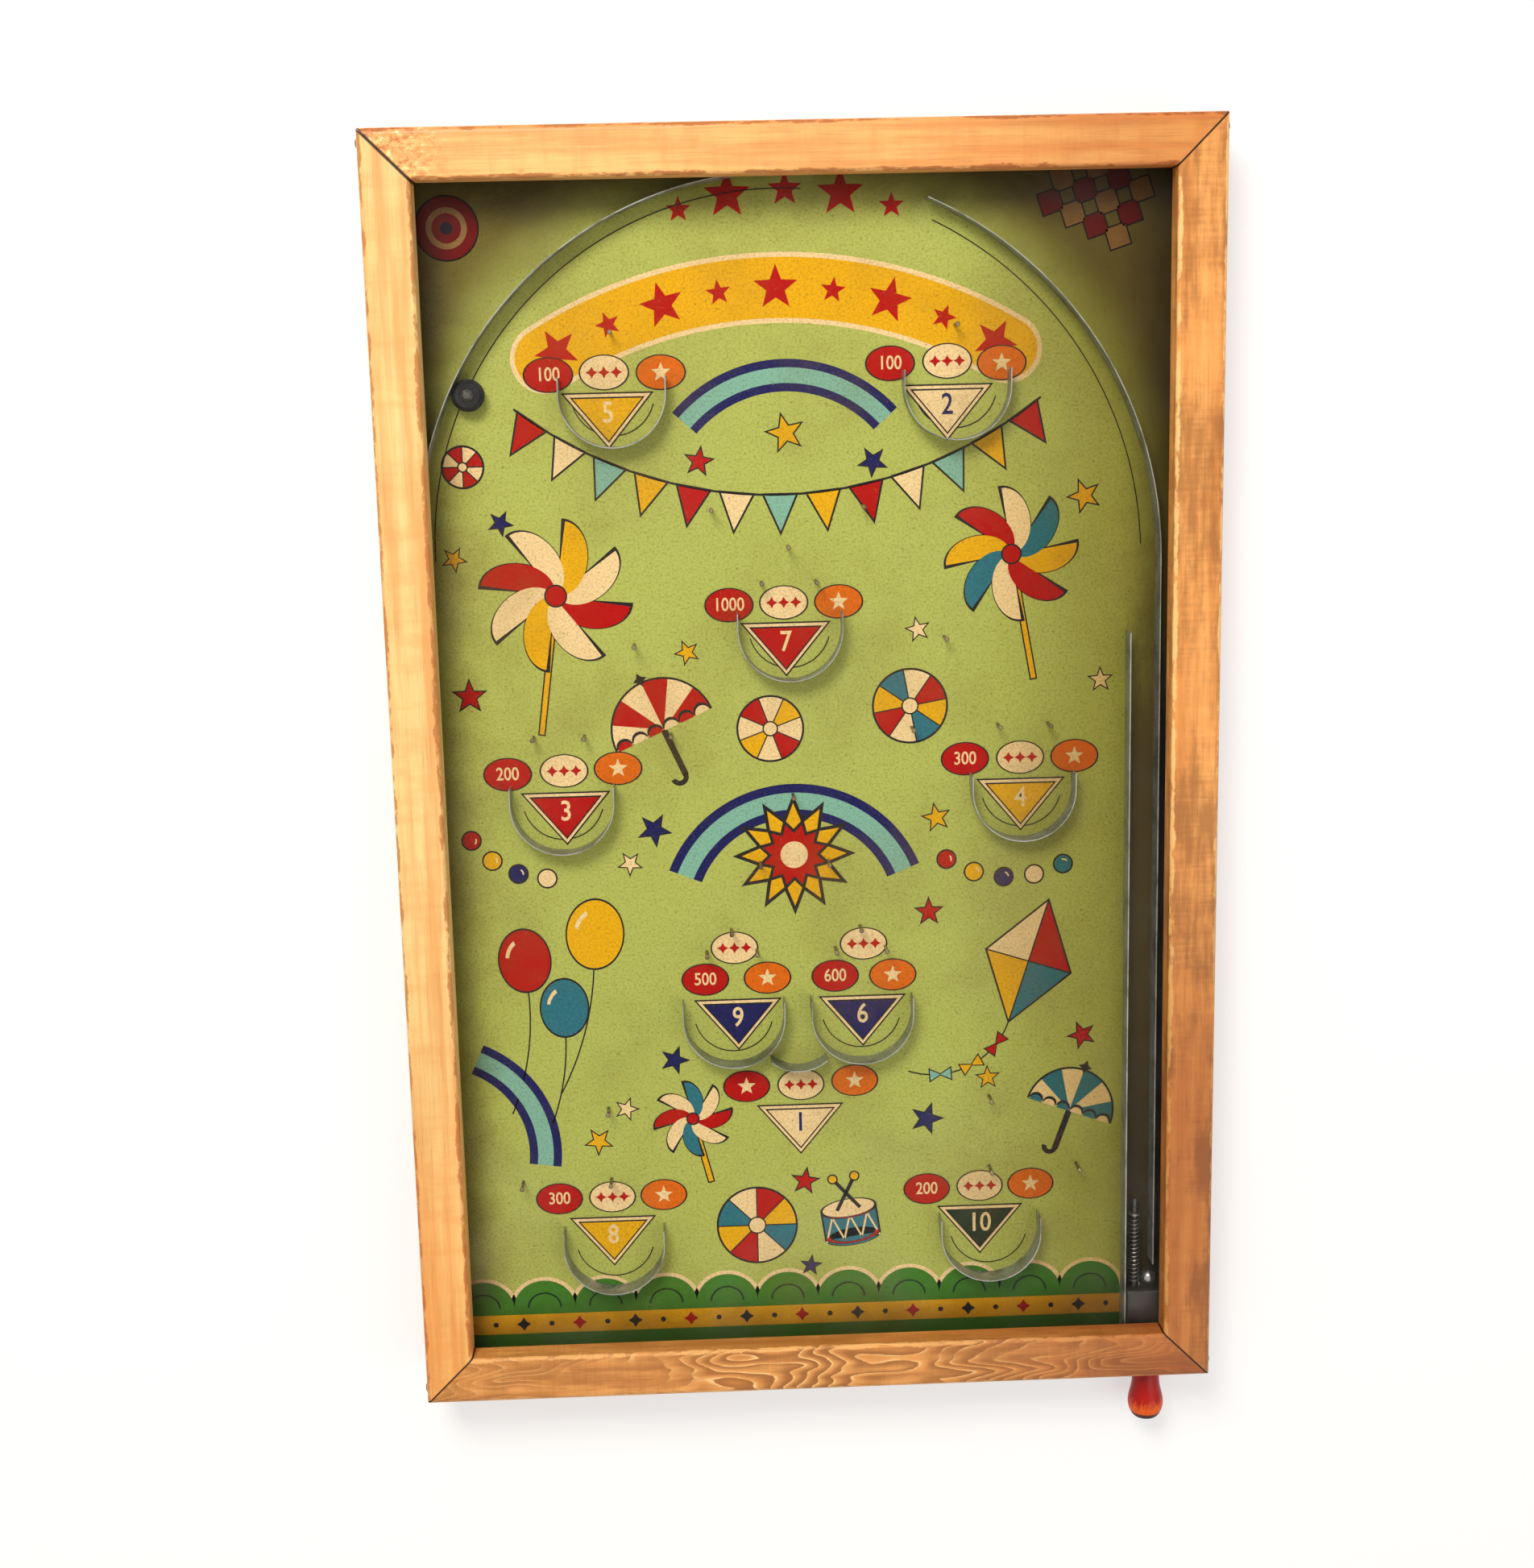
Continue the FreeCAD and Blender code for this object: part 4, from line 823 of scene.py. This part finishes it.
# What is printed, in order: the motif, its place and turn, and its sizes and inks
art = {
    "motifs": [
        (printJuggle, (-116, 0, 0), {"reach": 44, "low": 214, "high": 268, "count": 4}),
        (printJuggle, (104, 6, 0), {"reach": 56, "low": 236, "high": 296, "count": 5}),
        (printDrum, (24, -222, 8), {"wide": 26, "tall": 15}),
        (printHoops, (0, -66, 0), {"reach": 56, "wide": 15, "low": 22, "high": 158}),
        (printHoops, (-176, -180, 0), {"reach": 52, "wide": 14, "low": -8, "high": 66}),
        (printHoops, (0, 126, 0), {"reach": 62, "wide": 13, "low": 42, "high": 138}),
        (printBunting, (-3, 330), {"reach": 196, "low": 232, "high": 308, "count": 13}),
        (printPinwheel, (-108, 90, -8),
         {"reach": 35, "stick": 66, "colours": ("red", "cream", "yellow", "cream")}),
        (printPinwheel, (104, 104, 10),
         {"reach": 31, "stick": 60, "colours": ("yellow", "blue", "cream", "red")}),
        (printPinwheel, (-52, -166, 14),
         {"reach": 19, "stick": 34, "colours": ("red", "cream", "blue", "cream")}),
        (printBalloon, (-130, -84, 4), {"size": 14.0, "ink": "red", "string": 62, "bow": 130}),
        (printBalloon, (-96, -72, -4), {"size": 15.5, "ink": "yellow", "string": 64, "bow": 150}),
        (printBalloon, (-112, -108, 0), {"size": 13.0, "ink": "blue", "string": 44, "bow": 120}),
        (printKite, (112, -92, -18), {"wide": 42, "tall": 62}),
        (printParasol, (-60, 26, 24), {"reach": 24, "colours": ("red", "cream")}),
        (printParasol, (132, -168, -20), {"reach": 21, "colours": ("blue", "cream")}),
        (printStripedBall, (56, 34, 10),
         {"radius": 17, "colours": ("red", "cream", "blue", "yellow")}),
        (printStripedBall, (-22, -222, 0),
         {"radius": 19, "colours": ("yellow", "red", "cream", "blue")}),
        (printStripedBall, (-148, 150, 0), {"radius": 9, "colours": ("red", "cream")}),
        (printStripedBall, (-10, 25, 20),
         {"radius": 15, "colours": ("yellow", "cream", "red", "cream")}),
        (printBurst, (0, -36, 0), {"reach": 25}),
    ],
    # place, radius and ink
    "stars": [(-150, 44, 7, "red"), (40, 148, 6, "navy"), (-40, 150, 6, "red"),
              (138, 130, 7, "yellow"), (-60, -136, 6, "navy"), (68, -20, 6, "yellow"),
              (-66, -22, 7, "navy"), (64, -66, 6, "red"), (-98, -176, 6, "yellow"),
              (2, -200, 6, "red"), (138, -130, 6, "red"),
              (-84, -160, 5, "cream"), (60, 70, 5, "cream"), (-154, 108, 5, "yellow"),
              (146, 44, 5, "cream"), (-78, -38, 5, "cream"), (4, -244, 4.5, "navy"),
              (-48, 62, 5, "yellow"), (62, -170, 7, "navy"), (0, 162, 8, "yellow"),
              (-132, 124, 5, "navy"), (92, -150, 5, "yellow")],
    "starTurn": 31,
}


def printArt():
    mesh = startSheet()
    for printMotif, place, sizes in art["motifs"]:
        printMotif(mesh, spot(*place), **sizes)
    for index, (x, y, radius, ink) in enumerate(art["stars"]):
        outlinedStar(mesh, spot(x, y, index * art["starTurn"]), radius, ink, 1)
    finishSheet(mesh, "artPrint")


# Head and foot: a yellow arc with stars, marks in the corners, a scalloped green border
border = {
    "arcAt": (-3, 22), "arcReach": 205, "arcWide": 27, "arcHalfAngle": 31, "arcStars": 9,
    "headStars": [(-46, 262, 6), (-24, 268, 11), (2, 270, 8), (27, 268, 11), (50, 262, 6)],
    "roundel": (-150, 256), "diamonds": (122, 262, -27),
    "left": -173.0, "right": 157.6, "scallops": 11, "scallopRadius": 14.0, "scallopY": -261.0,
    "foot": -285.5, "bandLow": -274.5, "bandHigh": -264.5, "bandMarks": 24,
}


def printBorder():
    mesh = startSheet()
    at, half, turn = (spot(*border["arcAt"]), border["arcWide"] / 2, border["arcHalfAngle"])
    reach = border["arcReach"]
    for ink, grow, layer in (("cream", 2.2, 1), ("yellow", 0.0, 2)):
        printArc(mesh, at, reach - half - grow, reach + half + grow, 90 - turn, 90 + turn, ink,
                 layer, 56)
        for angle in (90 - turn, 90 + turn):
            end = at @ spot(0, 0, angle) @ spot(reach, 0)
            printDisc(mesh, end, half + grow, ink, layer + 0.3)
    for index in range(border["arcStars"]):
        angle = 90 + turn * 0.94 * (2 * index / (border["arcStars"] - 1) - 1)
        size = (10.5, 6.0)[index % 2]
        printStar(mesh, at @ spot(0, 0, angle - 90) @ spot(0, reach), size, "red", 3)
    for x, y, size in border["headStars"]:
        printStar(mesh, spot(x, y), size, "red", 2)
    for step, (ink, radius) in enumerate((("line", 14.6), ("red", 13.8), ("cream", 9.2),
                                          ("red", 6.6), ("navy", 2.8))):
        printDisc(mesh, spot(*border["roundel"]), radius, ink, 1 + step)
    for column in range(4):
        for row in range(3):
            at = spot(*border["diamonds"]) @ spot(column * 11.5, row * 11.5)
            printDisc(mesh, at, 7.6, "line", 1, 4)
            printDisc(mesh, at, 6.6, "cream" if (column + row) % 2 else "red", 2, 4)
    left, right = (border["left"], border["right"])
    step = (right - left) / border["scallops"]
    radius = border["scallopRadius"]
    for index in range(border["scallops"]):
        at = spot(left + step * (index + 0.5), border["scallopY"], 0, step / 2 / radius, 1.0)
        printWedge(mesh, at, radius + 1.9, 0, 180, "cream", 1)
        printWedge(mesh, at, radius, 0, 180, "green", 2)
        printArc(mesh, at, radius * 0.5, radius * 0.56, 0, 180, "forest", 3, 16)
    middle = (left + right) / 2
    for ink, low, high, layer in (("green", border["foot"], border["scallopY"], 2),
                                  ("yellow", border["bandLow"], border["bandHigh"], 4)):
        printBar(mesh, spot(middle, (low + high) / 2), right - left, high - low, ink, layer)
    count, level = (border["bandMarks"], (border["bandLow"] + border["bandHigh"]) / 2)
    for index in range(count):
        at = spot(left + (right - left) * (index + 0.5) / count, level)
        if index % 2:
            printDisc(mesh, at, 1.3, "line", 5, 16)
        else:
            printStar(mesh, at, 3.6, "line" if index % 4 else "red", 5, 4, 0.55)
    finishSheet(mesh, "borderPrint")


printArt()
printBorder()
print("field printed")


# Steel: strips and cups, wires, nails, ball
def makeSteel(name, look):
    material, tree, shader = newMaterial(name, {})
    place = objectPlace(tree)
    marks = stainMarks(tree, place, look["patch"], look["tarnish"])
    colour = tint(tree, tone(look["bright"]), marks["Mask"], look["dull"])
    fine = noise(tree, place, 1.4, 4.0, 0.7, (1.0, 1.0, 0.3))
    colour = mixColour(tree, band(tree, fine, 0.45, 0.75, 0.0, 0.4), colour,
                       tone(look["dull"], 0.7))
    fill(tree, shader, {
        "Base Color": colour,
        "Metallic": band(tree, marks["Speckle"], 0.0, 1.0, look["bare"], 1.0),
        "Roughness": band(tree, fine, 0.3, 0.7, *look["roughness"])})
    bump(tree, shader, fine, look["bump"])
    return material


steels = {
    "stripSteel": {
        "bright": (164, 166, 158), "dull": (112, 112, 100), "patch": 14.0,
        "tarnish": 1.0, "roughness": (0.3, 0.5), "bump": 0.05, "bare": 0.35},
    "springSteel": {
        "bright": (150, 144, 130), "dull": (84, 76, 62), "patch": 5.0,
        "tarnish": 0.7, "roughness": (0.28, 0.45), "bump": 0.02, "bare": 0.8},
    "darkSteel": {
        "bright": (92, 88, 82), "dull": (50, 44, 38), "patch": 3.0,
        "tarnish": 0.8, "roughness": (0.35, 0.55), "bump": 0.02, "bare": 0.8},
    "wireSteel": {
        "bright": (150, 146, 136), "dull": (86, 76, 62), "patch": 9.0,
        "tarnish": 0.8, "roughness": (0.32, 0.52), "bump": 0.04, "bare": 0.8},
    "nailSteel": {
        "bright": (150, 134, 100), "dull": (84, 66, 40), "patch": 5.0,
        "tarnish": 0.9, "roughness": (0.35, 0.6), "bump": 0.03, "bare": 0.8},
    "ballSteel": {
        "bright": (170, 168, 162), "dull": (110, 104, 94), "patch": 3.0,
        "tarnish": 0.6, "roughness": (0.14, 0.28), "bump": 0.005, "bare": 0.8},
}
steelOf = {
    "stripSteel": [name for name in nodes if name.startswith("cup_")] +
                  ["catch_arc", "arch_strip", "lane_outer_strip", "lane_divider_strip"],
    "springSteel": ["plunger_collar"],
    "darkSteel": ["plunger_rod", "bumper_nail"],
    "wireSteel": ["wire_stand", "stand_staples"],
    "nailSteel": ["playfield_pins", "case_nails", "field_brads"],
    "ballSteel": ["steel_ball"],
}


# The spring closes up as the knob is pulled: its foot stays on the housing while its head
# follows the collar
def makeSpring(steel):
    low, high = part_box("plunger_spring")
    x, z = ((low[0] + high[0]) / 2, (low[2] + high[2]) / 2)
    data = nodes["plunger_spring"].data.copy()
    data.name = "closingSpring"
    data.materials.clear()
    data.materials.append(steel)
    piece = addObject("closingSpring", data)
    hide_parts("plunger_spring")
    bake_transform(piece, "cabinet", "plunger", start=(x, low[1], z), end=(x, high[1], z))


for steelName, names in steelOf.items():
    steel = makeSteel(steelName, steels[steelName])
    for nodeName in names:
        dress(nodeName, steel)
    if steelName == "springSteel":
        makeSpring(steel)
print("steel finished")


# Dark painted housing, rubber bumper, red knob, glass
housing = {"clean": (28, 22, 16), "stained": (58, 48, 38), "patch": 7.0, "amount": 0.7,
           "gloss": 0.5, "roughness": (0.38, 0.6), "bump": (0.03, 0.5)}
rubber = {"clean": (20, 20, 21), "stained": (50, 49, 48), "patch": 5.0, "amount": 0.8,
          "gloss": 0.3, "roughness": (0.7, 0.7), "bump": (0.08, 0.6)}
knob = {"clean": (172, 8, 0), "stained": (128, 4, 0), "patch": 9.0, "amount": 0.8,
        "wood": (226, 96, 20), "dark": (48, 12, 6), "sides": 48,
        # millimetres above the knob's end: worn paint below wornTop, dark below darkTop
        "wornTop": 15.0, "darkTop": 4.0,
        # along the knob from the rail, and its half width there, as shares of its length
        "profile": [(0.0, 0.0), (0.0, 0.205), (0.025, 0.217), (0.2, 0.213), (0.4, 0.217),
                    (0.52, 0.238), (0.64, 0.273), (0.74, 0.286), (0.83, 0.276), (0.91, 0.246),
                    (0.955, 0.218), (0.975, 0.2), (1.0, 0.17), (1.0, 0.0)]}
glass = {"tint": (232, 236, 226), "clear": 0.003, "dust": 0.016, "patch": 60.0,
         # how mirror-like it is at a slant, and what a view from straight on takes off
         "shine": 0.3, "slantIndex": 1.45, "straightOn": 0.034,
         # dust is thickest below dustFull and thins out up to dustTop, from the foot
         "dustTop": 190.0, "dustFull": 20.0}


def stainedColour(tree, place, look):  # the colour of a finish, and its marks
    marks = stainMarks(tree, place, look["patch"], look["amount"])
    return tint(tree, tone(look["clean"]), marks["Mask"], look["stained"]), marks


def makeDull(name, look):
    material, tree, shader = newMaterial(name, {"Specular IOR Level": look["gloss"]})
    colour, marks = stainedColour(tree, objectPlace(tree), look)
    fill(tree, shader, {
        "Base Color": colour,
        "Roughness": band(tree, marks["Mask"], 0.0, 1.0, *look["roughness"])})
    bump(tree, shader, marks["Speckle"], *look["bump"])
    return material


# Red paint, rubbed down to an orange tone low on the knob, with a dark end
def makeKnobPaint():
    material, tree, shader = newMaterial("knobPaint", {
        "Coat Weight": 0.08, "Coat Roughness": 0.2, "Specular IOR Level": 0.2})
    place = objectPlace(tree)
    y = split(tree, place)["Y"]
    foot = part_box("plunger_knob")[0][1] / mm
    wornTop, darkTop = (foot + knob["wornTop"], foot + knob["darkTop"])
    colour = stainedColour(tree, place, knob)[0]
    lines = noise(tree, place, 0.8, 4.0, 0.6, (1.0, 0.3, 1.0))
    rubbed = plus(tree, times(tree, lines, 1.3),
                  times(tree, band(tree, y, wornTop, darkTop), 0.8))
    worn = band(tree, rubbed, 0.85, 1.5, 0.0, 0.9)
    colour = tint(tree, colour, worn, knob["wood"])
    colour = tint(tree, colour, band(tree, y, darkTop, darkTop - 1.4), knob["dark"])
    fill(tree, shader, {"Base Color": colour,
                        "Roughness": band(tree, worn, 0.0, 0.75, 0.3, 0.55)})
    bump(tree, shader, lines, 0.05)
    return material


# The knob as it is turned: a straight neck, a low belly and a small flat end
def makeKnob():
    low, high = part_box("plunger_knob")
    length = high[1] - low[1]
    mesh = bmesh.new()
    line = [mesh.verts.new((reach * length, -run * length, 0)) for run, reach in knob["profile"]]
    edges = [mesh.edges.new(pair) for pair in zip(line, line[1:])]
    bmesh.ops.spin(mesh, geom=line + edges, cent=(0, 0, 0), axis=(0, 1, 0),
                   angle=math.radians(360), steps=knob["sides"])
    bmesh.ops.remove_doubles(mesh, verts=mesh.verts, dist=1e-6)
    bmesh.ops.recalc_face_normals(mesh, faces=mesh.faces)
    bmesh.ops.translate(mesh, verts=mesh.verts, vec=(
        (low[0] + high[0]) / 2, high[1], (low[2] + high[2]) / 2))
    for face in mesh.faces:
        face.smooth = True
    piece = meshObject(mesh, "turnedKnob", makeKnobPaint())
    rounded = piece.modifiers.new("rounded", "SUBSURF")
    rounded.levels = rounded.render_levels = 1
    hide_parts("plunger_knob")
    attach(piece, body_of(nodes["plunger_knob"])[0])


# Clear glass: it shows most where it is seen at a slant and where dust has settled
def makeGlass():
    material, tree, shader = newMaterial("paneGlass", {
        "Base Color": tone(glass["tint"]), "Roughness": 0.03, "IOR": 1.5,
        "Specular IOR Level": 1.0})
    place = objectPlace(tree)
    marks = stainMarks(tree, place, glass["patch"], 1.0)
    fromFoot = minus(tree, split(tree, place)["Y"], case["middleY"] - case["halfLength"])
    settled = band(tree, fromFoot, glass["dustTop"], glass["dustFull"], 0.35, 1.0)
    haze = times(tree, times(tree, marks["Mask"], settled), glass["dust"])
    slant = addNode(tree, "Fresnel", {"IOR": glass["slantIndex"]}).outputs[0]
    shine = times(tree, minus(tree, slant, glass["straightOn"]), glass["shine"])
    fill(tree, shader, {"Alpha": calc(tree, "ADD", plus(tree, haze, glass["clear"]), shine,
                                      clamp=True)})
    return material


dress("plunger_housing", makeDull("housingPaint", housing))
dress("bumper_rubber", makeDull("bumperRubber", rubber))
makeKnob()
dress("glass_pane", makeGlass())
print("housing, rubber, knob and glass finished")


# Floor, light and camera. The floor takes the part's shadow near the middle and turns plain
# white further out, between whiteFrom and whiteTo, in metres
studio = {
    "floor": (252, 250, 248), "floorSize": 6.0, "whiteFrom": 0.45, "whiteTo": 1.1,
    "white": (1, 1, 1, 1), "sky": (1.0, 0.985, 0.965, 1), "skyLevel": 0.55,
    "lampTint": (1.0, 0.97, 0.93),
    "lamps": {"keyLamp": {"at": (-0.55, 1.3, 1.6), "size": 0.75, "power": 35.0},
              "fillLamp": {"at": (1.2, -0.9, 1.8), "size": 1.6, "power": 9.0}},
}
view = {"at": (-0.048, 0.1975, 0.9836), "turn": (-10.624, -1.996, -1.327), "lens": 48.1,
        "sensor": 36.0, "nearest": 0.01}


def seenShare(tree):  # 1 for what is seen straight, in a mirror or through glass, else 0
    path = addNode(tree, "LightPath").outputs
    return calc(tree, "MAXIMUM", path["Is Camera Ray"],
                calc(tree, "MAXIMUM", path["Is Glossy Ray"], path["Is Transmission Ray"]))


def makeFloor():
    material, tree, shader = newMaterial("studioFloor", {
        "Base Color": tone(studio["floor"]), "Roughness": 0.9})
    place = addNode(tree, "TexCoord").outputs["Object"]
    away = addNode(tree, "VectorMath", {0: place}, operation="LENGTH").outputs["Value"]
    far = band(tree, away, studio["whiteFrom"], studio["whiteTo"], 0.5, 1.0)
    white = addNode(tree, "Emission", {"Color": studio["white"], "Strength": 1.0}).outputs[0]
    mix = addNode(tree, "MixShader", {0: times(tree, seenShare(tree), far),
                                      1: shader.outputs[0], 2: white})
    fill(tree, tree.nodes["Material Output"], {"Surface": mix.outputs[0]})
    mesh = bmesh.new()
    bmesh.ops.create_grid(mesh, x_segments=8, y_segments=8, size=studio["floorSize"] / 2)
    meshObject(mesh, "floor", material)


def makeSky():
    world = bpy.data.worlds.new("studioSky")
    bpy.context.scene.world = world
    world.use_nodes = True
    tree = world.node_tree
    level = times(tree, seenShare(tree), 1.0 - studio["skyLevel"])
    fill(tree, tree.nodes["Background"], {"Color": studio["sky"],
                                          "Strength": plus(tree, level, studio["skyLevel"])})


def makeLamp(name, look):
    lamp = bpy.data.lights.new(name, "AREA")
    lamp.shape = "SQUARE"
    lamp.size = look["size"]
    lamp.energy = look["power"]
    lamp.color = studio["lampTint"]
    holder = addObject(name, lamp)
    holder.location = look["at"]
    holder.rotation_euler = (-Vector(look["at"])).to_track_quat("-Z", "Y").to_euler()


def makeCamera():
    camera = bpy.data.cameras.new("camera")
    camera.sensor_width = view["sensor"]
    camera.lens = view["lens"]
    camera.clip_start = view["nearest"]
    holder = addObject("camera", camera)
    holder.location = view["at"]
    holder.rotation_euler = [math.radians(angle) for angle in view["turn"]]
    bpy.context.scene.camera = holder


makeFloor()
makeSky()
for lampName, lampLook in studio["lamps"].items():
    makeLamp(lampName, lampLook)
makeCamera()
bpy.context.scene.view_settings.view_transform = "Standard"
print("studio set")
